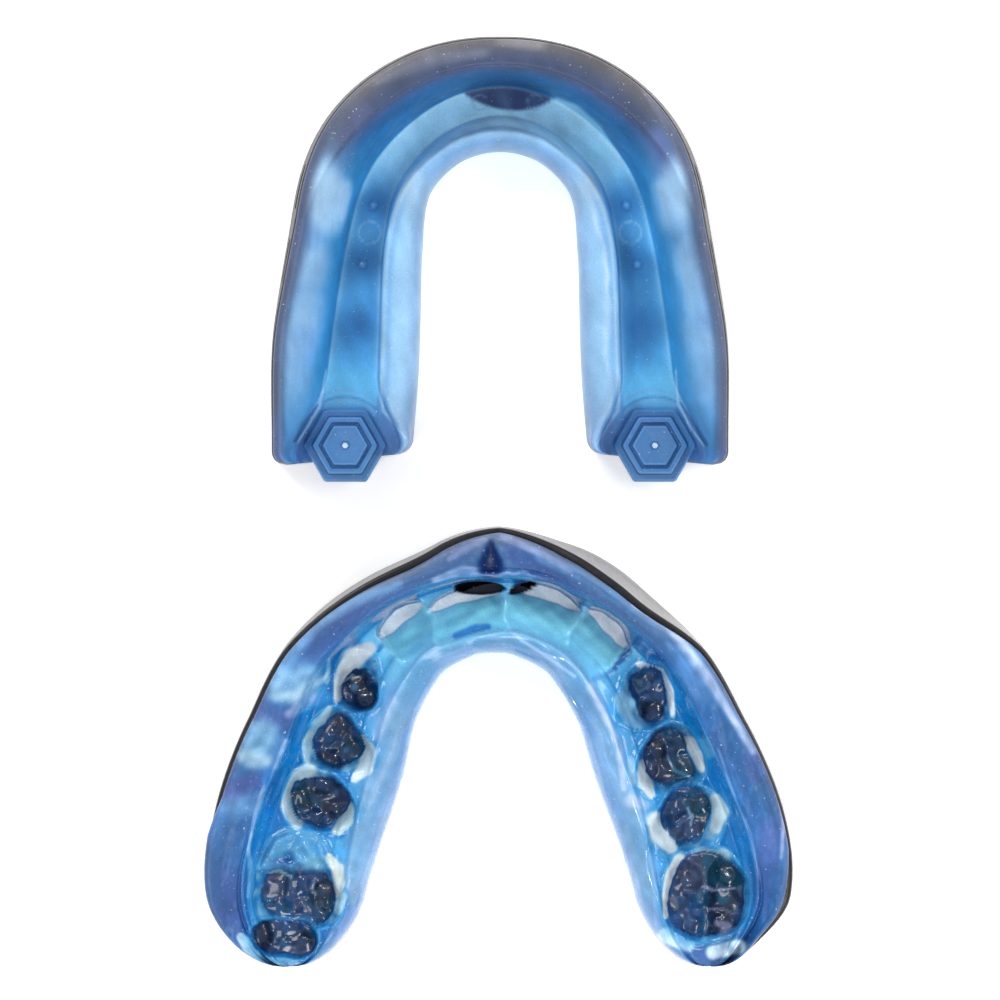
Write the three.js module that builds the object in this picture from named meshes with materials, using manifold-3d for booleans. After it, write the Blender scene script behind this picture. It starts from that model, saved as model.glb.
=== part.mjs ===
// A pair of boil-and-bite mouthguards on a table: one as it comes from the pack, one already
// moulded to a set of upper teeth. Each is a clear gel liner in a black rubber shock frame, with
// rubber bite pads and an airway bridge under the liner's floor and a hexagonal post in each heel.
//
// Millimetres. +Y points to the lips, +Z to the upper gums and +X to the wearer's right, so each
// guard lies flat on its bite side. The origin is the middle of the pair, on the table.
import * as THREE from "three";
import { mergeVertices } from "three/addons/utils/BufferGeometryUtils.js";
import Module from "manifold-3d";

const wasm = await Module();
wasm.setup();

const GAP = 0.3; // between touching pieces
const FRAME_WALL = 1.3; // the frame's lip-side wall
const FRAME_FLARE = 0.9; // how much further out the frame's foot stands than its rim
const EDGE = 0.5; // chamfer on the frame's edges
const RIM_STEP = 1.1; // how far the liner's rim stands above the frame's
const PAD_RISE = 1.7; // height of a bite pad
const FOOT_FILLET = 1.4; // height over which the channel's floor turns up into its walls
const TONGUE_LOW = 0.8; // lowest point of the liner's tongue-side edge
const UNDER = -1; // below every piece
const ROOF = 30; // above every piece
const SLICES = 52; // steps along each arch
const SLIVER = 0.02; // slivers finer than this are taken out of a cut piece

// Both guards list their dimensions at equal steps along half the arch, from the front teeth to the
// heel. Widths are measured square to the arch's centre line, and heights from the table.
const UNFITTED = {
  name: "unfitted",
  centre: [[0, 47.7], [6.2, 46.1], [11.4, 42], [14.5, 37.2], [16.2, 30], [17.2, 20.5], [18.4, 5]],
  outer: [8, 9.8, 9.4, 10, 8.8], // to the frame's foot on the lip side
  inner: [5.9, 5.5, 6.9, 7.8, 7.9], // to the liner's tongue side
  rim: [4.6, 5.8, 4.8, 5, 5.2], // inside edge of the lip-side rim
  floor: [1.75, 1.8, 2.2, 2.9, 3.3], // half the width of the channel's floor
  crest: [3.9, 4, 4.9, 5.4, 5.6], // top of the tongue-side wall
  rimTop: [20, 19.5, 17.5, 16, 14.5],
  crestTop: [13, 13, 12, 11.5, 10.5],
  floorTop: [6.6, 5.6, 5.4, 5.4, 5.6],
  base: [3.4, 2.4, 2.2, 2.2, 2.2], // thickness of the frame's base
  heelRound: 2.2,
  windows: [0.41, 0.56, 0.72], // where the frame's windows are, as a share of the half arch
  windowHeight: 9.5,
  pads: [[0.4, 2.1], [0.54, 2.3], [0.69, 2.7]], // share of the half arch, radius
  post: { share: 0.95, top: 7.6 },
  slots: [],
  teeth: [],
};
const FITTED = {
  name: "fitted",
  centre: [[0, -11.4], [5, -12], [11.5, -15.2], [17.2, -22.3], [20.2, -30], [23.2, -38.5], [25, -47],
    [24.9, -55.6]],
  outer: [8.5, 7.2, 8.9, 10.5, 10.9, 9.6],
  inner: [6.8, 7.5, 8.7, 9.4, 9, 8],
  rim: [4.4, 3.9, 5, 5.2, 5.4, 4.8],
  floor: [1.8, 1.9, 2.8, 3.3, 4.2, 3.4],
  crest: [4, 4.4, 5.4, 6, 6.4, 5.2],
  rimTop: [15.5, 17.5, 17, 15.5, 13.5, 8.5],
  crestTop: [11.5, 11.5, 11, 10.5, 9.5, 7.5],
  floorTop: [7.6, 7.8, 8.2, 8.2, 7.8, 7],
  base: [3.4, 2.4, 2.2, 2.2, 2.2, 2.2],
  heelRound: 8,
  windows: [0.4, 0.54, 0.69],
  windowHeight: 8.8,
  pads: [[0.38, 2.2], [0.52, 2.5], [0.66, 2.7]],
  post: { share: 0.86, top: 4.6 },
  slots: [[-2.7, 5.4], [2.9, 3.2]], // gel worn through to the airway bridge: middle and width along X
  // Prints of the teeth, from the second molar at the left heel to the first at the right. Each has its
  // share of the half arch, negative on the left, how far its middle stands out from the centre line,
  // its length along the arch, its width and the height of its lowest point.
  teeth: [
    { share: -0.934, out: 0.5, long: 4.8, wide: 8, low: 5.6 },
    { share: -0.807, out: -0.6, long: 10.6, wide: 8.8, low: 5.6 },
    { share: -0.639, out: -0.7, long: 7.2, wide: 7.4, low: 5.5 },
    { share: -0.506, out: -0.5, long: 7, wide: 6.8, low: 5.5 },
    { share: -0.382, out: -0.3, long: 5.4, wide: 5, low: 5.5 },
    { share: -0.218, out: 0.3, long: 7, wide: 3.8, low: 6.2 },
    { share: -0.081, out: -0.3, long: 7.6, wide: 3.8, low: 6 },
    { share: 0.107, out: 0.2, long: 8.2, wide: 3.8, low: 6 },
    { share: 0.246, out: 0.4, long: 7, wide: 3.8, low: 6.2 },
    { share: 0.404, out: 0, long: 7, wide: 5.2, low: 5.5 },
    { share: 0.546, out: -0.2, long: 7, wide: 6.8, low: 5.5 },
    { share: 0.676, out: -0.9, long: 7, wide: 7.2, low: 5.5 },
    { share: 0.846, out: -0.4, long: 10.6, wide: 9.2, low: 5.6 },
  ],
};
const WINDOW = { width: 5, height: 4.6, corner: 1.2 };
const POST = { acrossFlats: 8.6, rim: 7, groove: 0.6, button: 5.5, dimple: 1, foot: 9.2, footTop: 1.8 };
const AIRWAY = { width: 5, height: 2.1, pitch: 7, length: 24 }; // the two grooves under the frame's front
const BRIDGE = { width: 11, depth: 3.2, height: 1.7 }; // the lens-shaped bridge over them
const SLOT = { depth: 1.5, top: 12, out: 0.6 }; // a breathing slot: front to back, top, from the centre line
const CROWN_TOP = 12; // how high a tooth's print is cut into the channel's walls

const COLOURS = {
  gel: { color: 0x5f9fdc, roughness: 0.25, metalness: 0 },
  frame: { color: 0x23242a, roughness: 0.35, metalness: 0 },
  pad: { color: 0x1a2038, roughness: 0.45, metalness: 0 },
  post: { color: 0x44619c, roughness: 0.35, metalness: 0 },
};

// ---- solids ------------------------------------------------------------------------------------

function solid(geometry) {
  const bare = geometry.clone();
  bare.deleteAttribute("normal");
  bare.deleteAttribute("uv");
  const merged = mergeVertices(bare, 1e-4);
  return new wasm.Manifold(new wasm.Mesh({
    numProp: 3,
    vertProperties: new Float32Array(merged.attributes.position.array),
    triVerts: new Uint32Array(merged.index.array),
  }));
}

function geometryOf(manifold) {
  const mesh = manifold.asOriginal().simplify(SLIVER).getMesh();
  const geometry = new THREE.BufferGeometry();
  geometry.setAttribute("position", new THREE.BufferAttribute(mesh.vertProperties, 3));
  geometry.setIndex(new THREE.BufferAttribute(mesh.triVerts, 1));
  return geometry;
}

function box(width, depth, low, high, x, y) {
  const geometry = new THREE.BoxGeometry(width, depth, high - low);
  return solid(geometry.translate(x, y, (low + high) / 2));
}

// A hexagonal lathe of a profile of (radius, height) points, with two of its flats facing +Y and -Y.
function hexagon(profile, x, y) {
  const points = profile.map(([flats, z]) => new THREE.Vector2(flats / 2 / Math.cos(Math.PI / 6), z));
  const geometry = new THREE.LatheGeometry(points, 6, Math.PI / 2);
  return geometry.rotateX(Math.PI / 2).translate(x, y, 0);
}

function hexagonBlock(flats, low, high, x, y) {
  return hexagon([[0, low], [flats, low], [flats, high], [0, high]], x, y);
}

// ---- the arch ----------------------------------------------------------------------------------

// A dimension at a share of the half arch, from its list.
function along(list, share) {
  const points = list.map((value, i) => new THREE.Vector2(i, value));
  return new THREE.SplineCurve(points).getPoint(share).y;
}

// The whole centre line, from the left heel round the front to the right one.
function centreLine(guard) {
  const half = guard.centre.map(([x, y]) => new THREE.Vector2(x, y));
  const left = half.slice(1).reverse().map((p) => new THREE.Vector2(-p.x, p.y));
  const curve = new THREE.SplineCurve([...left, ...half]);
  curve.arcLengthDivisions = 600;
  return curve;
}

// Where the arch is at a share of one half: its point and the way out to the lips.
function station(curve, side, share) {
  const at = 0.5 + (side * share) / 2;
  const tangent = curve.getTangentAt(at);
  return { point: curve.getPointAt(at), out: new THREE.Vector2(-tangent.y, tangent.x) };
}

// How much narrower the guard is in plan at a share of the half arch, because its heels are rounded.
function heelNarrowing(guard, curve, share) {
  const round = guard.heelRound;
  const short = Math.max(round - (1 - share) * (curve.getLength() / 2), 0);
  const inset = round - Math.sqrt(round ** 2 - short ** 2);
  return 1 - inset / along(guard.outer, share);
}

// A closed body through one section at every station; section(share) gives its (width, height) points.
function loft(curve, section) {
  const positions = [];
  const indices = [];
  let size = 0;
  for (let i = 0; i <= SLICES; i++) {
    const turn = (2 * i) / SLICES - 1;
    const side = turn < 0 ? -1 : 1;
    const share = (Math.abs(turn) + Math.sin(Math.abs(turn) * Math.PI / 2)) / 2; // closer at the heels
    const { point, out } = station(curve, side, share);
    const ring = section(share);
    size = ring.length;
    for (const [width, z] of ring) positions.push(point.x + out.x * width, point.y + out.y * width, z);
    if (i === SLICES) continue;
    for (let j = 0; j < size; j++) {
      const a = i * size + j;
      const b = i * size + ((j + 1) % size);
      indices.push(a, b, b + size, a, b + size, a + size);
    }
  }
  const outline = section(1).map(([width, z]) => new THREE.Vector2(width, z));
  const last = SLICES * size;
  for (const [a, b, c] of THREE.ShapeUtils.triangulateShape(outline, [])) {
    indices.push(a, c, b, last + a, last + b, last + c);
  }
  const geometry = new THREE.BufferGeometry();
  geometry.setAttribute("position", new THREE.Float32BufferAttribute(positions, 3));
  geometry.setIndex(indices);
  const made = solid(geometry);
  if (made.volume() > 0) return made;
  for (let i = 0; i < indices.length; i += 3) {
    [indices[i + 1], indices[i + 2]] = [indices[i + 2], indices[i + 1]];
  }
  geometry.setIndex(indices);
  return solid(geometry);
}

// ---- the two main sections ---------------------------------------------------------------------

const baseReach = (guard, share) => along(guard.crest, share) - 0.4; // the base stops short of the tongue

// Base plate and lip-side wall.
function frameSection(guard, share) {
  const foot = along(guard.outer, share);
  const rim = foot - FRAME_FLARE;
  const top = along(guard.rimTop, share) - RIM_STEP;
  const base = along(guard.base, share);
  const back = -baseReach(guard, share);
  return [
    [foot - EDGE, 0],
    [foot, EDGE],
    [foot, base + 1],
    [rim, top - EDGE],
    [rim - EDGE, top],
    [rim - FRAME_WALL, top],
    [foot - FRAME_WALL, base + 1],
    [foot - FRAME_WALL - 0.4, base],
    [back, base],
    [back, EDGE],
    [back + EDGE, 0],
  ];
}

// A channel for the teeth between two walls, lying in the frame.
function linerSection(guard, share) {
  const foot = along(guard.outer, share) - FRAME_WALL - GAP;
  const edge = foot - FRAME_FLARE;
  const top = along(guard.rimTop, share);
  const rim = along(guard.rim, share);
  const floor = along(guard.floor, share);
  const floorTop = along(guard.floorTop, share);
  const crest = along(guard.crest, share);
  const crestTop = along(guard.crestTop, share);
  const tongue = along(guard.inner, share);
  const seat = along(guard.base, share) + GAP;
  const back = -baseReach(guard, share) - GAP;
  return [
    [foot - 0.4, seat],
    [foot, seat + 0.8],
    [edge, top - 1.4],
    [edge - 0.5, top - 0.4],
    [(edge + rim) / 2, top],
    [rim, top - 0.5],
    [rim - 0.8, top - 1.8],
    [floor + 0.4, floorTop + FOOT_FILLET],
    [floor - 0.5, floorTop],
    [-floor + 0.5, floorTop],
    [-floor - 0.4, floorTop + FOOT_FILLET],
    [-crest + 0.9, crestTop - 0.9],
    [-crest, crestTop],
    [-tongue + 0.5, crestTop - 1.4],
    [-tongue, crestTop - 4],
    [-tongue, 2 * TONGUE_LOW],
    [-tongue + TONGUE_LOW, TONGUE_LOW],
    [back, TONGUE_LOW],
    [back, seat],
  ];
}

// The whole guard's outline in plan as one thick slab, with rounded heels.
function planSection(guard, curve, share) {
  const narrow = heelNarrowing(guard, curve, share);
  const lips = (along(guard.outer, share) + 1) * narrow;
  const tongue = -(along(guard.inner, share) + 1) * narrow;
  return [[lips, UNDER], [lips, ROOF], [tongue, ROOF], [tongue, UNDER]];
}

// ---- the small pieces --------------------------------------------------------------------------

// A block through the lip-side wall at one station, square to the arch.
function windowCutter(guard, curve, side, share) {
  const { width, height, corner } = WINDOW;
  const [w, h] = [width / 2 - corner, height / 2 - corner];
  const shape = new THREE.Shape();
  shape.absarc(w, h, corner, 0, Math.PI / 2);
  shape.absarc(-w, h, corner, Math.PI / 2, Math.PI);
  shape.absarc(-w, -h, corner, Math.PI, 1.5 * Math.PI);
  shape.absarc(w, -h, corner, 1.5 * Math.PI, 2 * Math.PI);
  const depth = 6;
  const block = new THREE.ExtrudeGeometry(shape, { depth, bevelEnabled: false, curveSegments: 3 });
  const place = station(curve, side, share);
  const reach = along(guard.outer, share) - FRAME_WALL;
  const middle = new THREE.Vector3(
    place.point.x + place.out.x * reach,
    place.point.y + place.out.y * reach,
    guard.windowHeight,
  );
  const turn = new THREE.Matrix4().lookAt(
    new THREE.Vector3(place.out.x, place.out.y, 0),
    new THREE.Vector3(),
    new THREE.Vector3(0, 0, 1),
  );
  return solid(block.translate(0, 0, -depth / 2).applyMatrix4(turn).translate(...middle));
}

// A low dome, or with grow the pocket that it needs.
function bitePad(radius, seat, x, y, grow = 0) {
  const r = radius + grow;
  const top = PAD_RISE + grow;
  const low = grow ? UNDER : 0;
  const profile = [[0, low], [r, low], [r, top * 0.45], [r * 0.8, top * 0.8], [r * 0.4, top], [0, top]];
  const points = profile.map(([across, up]) => new THREE.Vector2(across, seat + up));
  return new THREE.LatheGeometry(points, 16).rotateX(Math.PI / 2).translate(x, y, 0);
}

// The heel post: a hexagonal column with a groove round a raised button that has a dimple in it.
function heelPost(guard, x, y, seat) {
  const { acrossFlats, rim, groove, button, dimple } = POST;
  const top = guard.post.top;
  return hexagon([
    [0, seat],
    [acrossFlats, seat],
    [acrossFlats, top - 0.6],
    [acrossFlats - 0.6, top],
    [rim, top],
    [rim - 0.6, top - groove],
    [button + 0.4, top - groove],
    [button, top - 0.1],
    [dimple, top - 0.4],
    [0, top - 1],
  ], x, y);
}

// A tooth's crown, rounded at its bottom and lying along the arch, to press into the liner.
function toothCrown(curve, { share, out, long, wide, low }) {
  const place = station(curve, Math.sign(share), Math.abs(share));
  const height = CROWN_TOP - low;
  const profile = [[0, 0], [0.5, 0.1], [0.8, 0.5], [0.95, 1.4], [1, 2.6], [1, height], [0, height]];
  const points = profile.map(([across, up]) => new THREE.Vector2(across, up));
  const crown = new THREE.LatheGeometry(points, 20).rotateX(Math.PI / 2);
  crown.scale(long / 2, wide / 2, 1);
  crown.rotateZ(Math.atan2(place.out.y, place.out.x) - Math.PI / 2);
  return crown.translate(place.point.x + place.out.x * out, place.point.y + place.out.y * out, low);
}

// The lens-shaped bridge that carries the front teeth over the two airway grooves.
function airwayBridge(guard, seat, grow = 0) {
  const [, y] = guard.centre[0];
  const half = BRIDGE.width / 2 + grow;
  const bulge = BRIDGE.depth / 2 + grow;
  const shape = new THREE.Shape();
  shape.moveTo(-half, 0);
  shape.quadraticCurveTo(0, 2 * bulge, half, 0);
  shape.quadraticCurveTo(0, -2 * bulge, -half, 0);
  const low = grow ? UNDER : 0;
  const depth = BRIDGE.height + grow - low;
  const plate = new THREE.ExtrudeGeometry(shape, { depth, bevelEnabled: false, curveSegments: 10 });
  return plate.translate(0, y, seat + low);
}

// ---- one guard ---------------------------------------------------------------------------------

function makeGuard(guard) {
  const curve = centreLine(guard);
  const [, front] = guard.centre[0];
  const heelSeat = along(guard.base, 1) + GAP;
  const pieces = [];
  const add = (name, geometry, look) => pieces.push([`${guard.name}_${name}`, geometry, look]);
  const plan = loft(curve, (share) => planSection(guard, curve, share));
  let frame = loft(curve, (share) => frameSection(guard, share)).intersect(plan);
  let liner = loft(curve, (share) => linerSection(guard, share)).intersect(plan);

  for (const [side, hand] of [[-1, "left"], [1, "right"]]) {
    for (const share of guard.windows) {
      frame = frame.subtract(windowCutter(guard, curve, side, share));
    }
    guard.pads.forEach(([share, radius], i) => {
      const { point } = station(curve, side, share);
      const seat = along(guard.base, share) + GAP;
      liner = liner.subtract(solid(bitePad(radius, seat, point.x, point.y, GAP)));
      add(`${hand}_bite_pad_${i + 1}`, bitePad(radius, seat, point.x, point.y), COLOURS.pad);
    });
    const { point } = station(curve, side, guard.post.share);
    frame = frame.add(solid(hexagonBlock(POST.foot, 0, POST.footTop, point.x, point.y)));
    const clear = 2 * GAP;
    const footRoom = hexagonBlock(POST.foot + clear, UNDER, POST.footTop + GAP, point.x, point.y);
    liner = liner.subtract(solid(footRoom));
    const open = guard.post.top > along(guard.floorTop, 1);
    const roof = open ? ROOF : guard.post.top + GAP;
    const postRoom = hexagonBlock(POST.acrossFlats + clear, UNDER, roof, point.x, point.y);
    liner = liner.subtract(solid(postRoom));
    add(`${hand}_heel_post`, heelPost(guard, point.x, point.y, heelSeat), COLOURS.post);
    const airwayX = (side * AIRWAY.pitch) / 2;
    frame = frame.subtract(box(AIRWAY.width, AIRWAY.length, UNDER, AIRWAY.height, airwayX, front));
  }

  const seat = along(guard.base, 0) + GAP;
  liner = liner.subtract(solid(airwayBridge(guard, seat, GAP)));
  for (const [x, width] of guard.slots) {
    liner = liner.subtract(box(width, SLOT.depth, seat + UNDER, SLOT.top, x, front + SLOT.out));
  }
  for (const tooth of guard.teeth) {
    liner = liner.subtract(solid(toothCrown(curve, tooth)));
  }
  add("airway_bridge", airwayBridge(guard, seat), COLOURS.pad);
  add("shock_frame", geometryOf(frame), COLOURS.frame);
  add("gel_liner", geometryOf(liner), COLOURS.gel);

  const group = new THREE.Group();
  group.name = `${guard.name}_guard`;
  for (const [name, geometry, look] of pieces) {
    const mesh = new THREE.Mesh(geometry, new THREE.MeshStandardMaterial(look));
    mesh.name = name;
    group.add(mesh);
  }
  return group;
}

const pair = new THREE.Group();
pair.add(makeGuard(UNFITTED), makeGuard(FITTED));

// The origin is the middle of the pair's outline, on the table.
const middle = new THREE.Box3().setFromObject(pair).getCenter(new THREE.Vector3());
pair.position.set(-middle.x, -middle.y, 0);

export default pair;
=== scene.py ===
"""Looks for a pair of boil-and-bite mouthguards, one as new and one bitten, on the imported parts."""
import math

import bmesh
import bpy
import numpy as np
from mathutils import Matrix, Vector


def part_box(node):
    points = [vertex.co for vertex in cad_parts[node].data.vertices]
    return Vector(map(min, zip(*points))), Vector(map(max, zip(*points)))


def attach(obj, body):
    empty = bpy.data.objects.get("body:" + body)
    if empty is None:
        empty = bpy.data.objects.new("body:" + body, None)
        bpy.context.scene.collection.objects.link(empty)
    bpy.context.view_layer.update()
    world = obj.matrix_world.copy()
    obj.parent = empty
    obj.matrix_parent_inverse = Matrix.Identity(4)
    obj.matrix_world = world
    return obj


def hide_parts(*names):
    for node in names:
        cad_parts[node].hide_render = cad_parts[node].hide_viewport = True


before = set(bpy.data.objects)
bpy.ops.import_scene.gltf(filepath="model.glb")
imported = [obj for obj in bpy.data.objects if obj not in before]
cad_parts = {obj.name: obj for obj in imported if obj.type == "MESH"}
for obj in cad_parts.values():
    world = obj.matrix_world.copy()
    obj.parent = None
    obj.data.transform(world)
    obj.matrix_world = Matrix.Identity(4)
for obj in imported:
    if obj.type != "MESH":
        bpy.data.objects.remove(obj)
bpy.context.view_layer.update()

# Lengths are millimetres until a mesh is made. +Y is towards the lips, +X the wearer's right.
MM = 0.001
FRAME_WALL = 1.3
FRAME_RINGS = 260
RIM_STEP = 1.1  # how far the frame's rim stands below the liner's
BOND = 0.1  # the gap between the liner and the frame, which are bonded in a real guard
# The frame's windows and breathing slots: width, height and depth.
WINDOW, WINDOW_CORNER, WINDOW_FLARE = (5, 4.6, 3.4), 1.2, 1.16
WINDOW_SWELL = 0.9
SLOT, SLOT_CORNER, SLOT_X, SLOT_Z = (5, 3.1, 24), 0.9, 3.5, 0.55
CUSP_SHARPNESS = 3.5
SQUEEZED_TOOTH = 3  # the left molar with gel squeezed up in front of its cusps

# The stage, in metres, with the lamps' places, sizes and powers.
TABLE_REACH = 3.0
STUDIO_STOPS = ((0.45, 1.0), (0.97, 0.5))
STUDIO_STRENGTH = 0.78
LAMPS = (
    ("key", (-0.3, 0.42, 0.5), 0.3, 2.1),
    ("right", (0.5, 0.1, 0.45), 0.36, 1.6),
    ("back", (0.05, -0.5, 0.5), 0.3, 1.3),
    ("glint", (-0.2, -0.25, 0.6), 0.05, 0.5),
)
CAMERA_HEIGHT = 0.95
CAMERA_NUDGE = 0.0001
VIEW_WIDTH = 0.12
OUTLINE_HEIGHT = 0.003  # the height where the guards' outlines are widest

# Both guards list their dimensions at equal steps along half the arch, from the front teeth to the
# heel. Widths are measured square to the arch's centre line, and heights from the table.
UNFITTED = {
    "name": "unfitted",
    "liner_rings": 330,
    "centre": [(0, 47.7), (6.2, 46.1), (11.4, 42), (14.5, 37.2), (16.2, 30), (17.2, 20.5),
               (18.4, 5)],
    "outer": [8, 9.8, 9.4, 10, 9.0],
    "inner": [5.9, 5.5, 6.9, 7.8, 7.9],
    "rim": [3.6, 5.0, 7.4, 8.2, 7.4],
    "shoulder": [2.4, 2.8, 3.4, 4.1, 5.0],
    "shoulder_rise": [5.0, 4.6, 3.6, 3.4, 3.2],
    "floor": [1.75, 1.8, 2.2, 2.9, 3.3],
    "crest": [3.1, 3.3, 4.3, 5.0, 5.4],
    "ridge": [3.5, 2.9, 2.6, 3.3, 3.7],
    "rim_top": [20, 19.5, 17.5, 16, 14.5],
    "crest_top": [10.2, 11.4, 11.6, 11.5, 10.5],
    "floor_top": [7.4, 6.4, 5.6, 5.4, 5.6],
    "base": [3.4, 2.4, 2.2, 2.2, 2.2],
    "lean": [1.0, 1.0, 0.8, 0.4, 0.2],
    "overlap": [0.25, 0.25, 0.25, 0.25, 0.2],
    "heel_round": (1.7, 0.2),
    "heel_flare": 3.2,
    "heel_shear": 0.17,
    "drift": 0.0,
    "slim_right_heel": 0.0,
    "windows": [0.41, 0.56, 0.72],
    "window_height": 9.5,
    "pads": [(0.4, 2.1), (0.54, 2.3), (0.69, 2.7)],
}
FITTED = {
    "name": "fitted",
    "liner_rings": 430,
    "centre": [(0, -11.4), (5, -12), (11.5, -15.2), (17.2, -22.3), (20.2, -30), (23.2, -38.5),
               (25, -47), (24.9, -55.6)],
    "outer": [8.5, 7.5, 9.4, 10.6, 10.4, 7.8],
    "inner": [6.8, 7.5, 8.7, 9.4, 9, 8],
    "rim": [3.4, 3.6, 4.8, 5.6, 6.4, 5.6],
    "shoulder": [2.2, 2.6, 4.2, 4.8, 5.4, 4.6],
    "shoulder_rise": [4.6, 4.4, 3.0, 2.8, 2.2, 1.2],
    "floor": [1.6, 1.8, 2.8, 3.5, 4.2, 3.4],
    "crest": [4, 4.2, 4.9, 5.4, 6.0, 5.2],
    "ridge": [4, 4.2, 4.9, 5.4, 6.0, 5.2],
    "rim_top": [15.5, 17.5, 17, 15.5, 13.5, 8.5],
    "crest_top": [11.5, 11.5, 11, 10.5, 9.5, 7.5],
    "floor_top": [8.2, 8.6, 9.0, 9.0, 8.4, 7.2],
    "base": [3.4, 2.4, 2.2, 2.2, 2.2, 2.2],
    "lean": [0.2, 1.4, 0.5, 0.1, 0.1, 0.1],
    "heel_round": (9, 0.9),
    "heel_flare": 0,
    "heel_shear": 0.0,
    "drift": 0.9,
    "slim_right_heel": 0.15,
    "windows": [0.4, 0.54, 0.69],
    "window_height": 8.8,
    "pads": [(0.38, 2.2), (0.52, 2.5), (0.66, 2.7)],
}

# The prints of the back teeth: middle, lowest point, how far the bitten pit and then the crown's
# edge reach (towards +X, then every 45 degrees anticlockwise), and the cusps' hollows.
BACK_TEETH = [
    ((-16.9, -22.4), 5.4,
     (2, 2.1, 2.4, 2.1, 2, 2.2, 2.4, 2.5),
     (2.3, 3.2, 4.4, 3.7, 2.5, 3, 2.7, 2.8),
     ((-0.5, 0.4), (0.7, -1.1))),
    ((-19.2, -28.9), 5.3,
     (2.8, 2.6, 3.5, 2.9, 3, 3.2, 2.9, 3),
     (3.8, 2.9, 4.1, 4.1, 4.1, 4.3, 3.5, 4.4),
     ((-1.3, 0.6), (1.4, -0.9), (0.3, 1.9), (-0.9, -1.9))),
    ((-21.6, -35.9), 5.3,
     (3.5, 3.2, 3, 3.4, 3.5, 3.1, 2.9, 3.2),
     (4.1, 3.5, 4.2, 4.5, 4.3, 4, 3.3, 4.3),
     ((-1.9, 0.3), (1.7, -0.7), (0.4, 1.9), (-0.6, -1.9))),
    ((-24, -47.3), 5.1,
     (4.3, 4.4, 4, 4.6, 4.4, 3.8, 3.3, 4.2),
     (5.1, 5.9, 8.2, 6.6, 5.4, 5.2, 3.8, 4.9),
     ((-2.3, 1.4), (2.7, 0.5), (-2.4, -1.4), (0.8, -2.1), (0.4, 1.6), (2.3, -1.9))),
    ((-25.9, -52.3), 5.4,
     (3.9, 2.8, 1.9, 3, 3.6, 2.6, 2.1, 3),
     (4.2, 3, 2, 3.2, 3.9, 2.9, 2.4, 3.3),
     ((-2.3, 0.2), (0.1, -0.7), (2.5, -0.6), (0.5, 1.1))),
    ((17.5, -23.1), 5.4,
     (2.4, 2.9, 3.2, 2.8, 1.9, 1.9, 3.3, 3.3),
     (3, 3.5, 3.8, 3.4, 3.4, 4.5, 4.1, 3.9),
     ((-0.2, 1.3), (0.9, -2), (1.6, -0.2))),
    ((20.2, -30.8), 5.3,
     (2.8, 2.7, 3.9, 3.2, 3.1, 3.2, 3.7, 3.9),
     (4.2, 4, 4.3, 3.5, 3.9, 4.6, 4.4, 4.6),
     ((-1.7, 1), (1.1, 1.8), (1.7, -1.5), (-0.7, -1.5))),
    ((22.3, -37.9), 5.3,
     (2.8, 3.7, 3.9, 3.5, 3.2, 2.8, 3.5, 2.9),
     (4.5, 4.4, 4.1, 3.7, 4, 5.3, 4.8, 4.4),
     ((-1.2, 0.8), (1.7, 1.5), (0.4, -1.7), (2, -1.1))),
    ((24.6, -47.2), 5.1,
     (4.6, 5, 5.3, 4.9, 4.6, 5.2, 5, 4.9),
     (5.2, 5.4, 6.2, 5.9, 5.2, 5.7, 5.5, 5.3),
     ((2.4, 2.3), (-2.5, 1.8), (2.2, -0.5), (-3.2, -0.7), (1.8, -3), (-1.9, -3.2))),
]
# The prints of the front teeth: middle of the biting edge, half its length, how far its arc bows to
# the lips, and how thick it is.
FRONT_TEETH = [
    ((-4.2, -12.3), 4.7, 1.7, 1.5),
    ((-11.8, -14.3), 3.4, 1.3, 1.8),
    ((5.4, -12.0), 4.5, 1.7, 1.5),
    ((12.9, -15.4), 3.5, 1.3, 1.7),
]
# Breathing slots worn through to the bridge: middle, half length, half width, turn in degrees.
SLOTS = [((-2.5, -10.4), 2.9, 0.75, 0), ((2.6, -10.4), 1.6, 0.5, 22)]

# How much of the fitted frame's rim shows outside the liner, at turns from the front to each heel.
FITTED_RIM_LEFT = ((0, 0.6), (0.15, 1.0), (0.3, 0.65), (0.68, 0.5), (0.76, -0.25), (1, -0.35))
FITTED_RIM_RIGHT = ((0, 0.6), (0.1, 0.9), (0.3, 0.9), (0.44, 0.5), (0.6, 0.4), (0.78, 0.35),
                    (0.86, 0.8), (0.93, 0.6), (1, -0.3))

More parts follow.
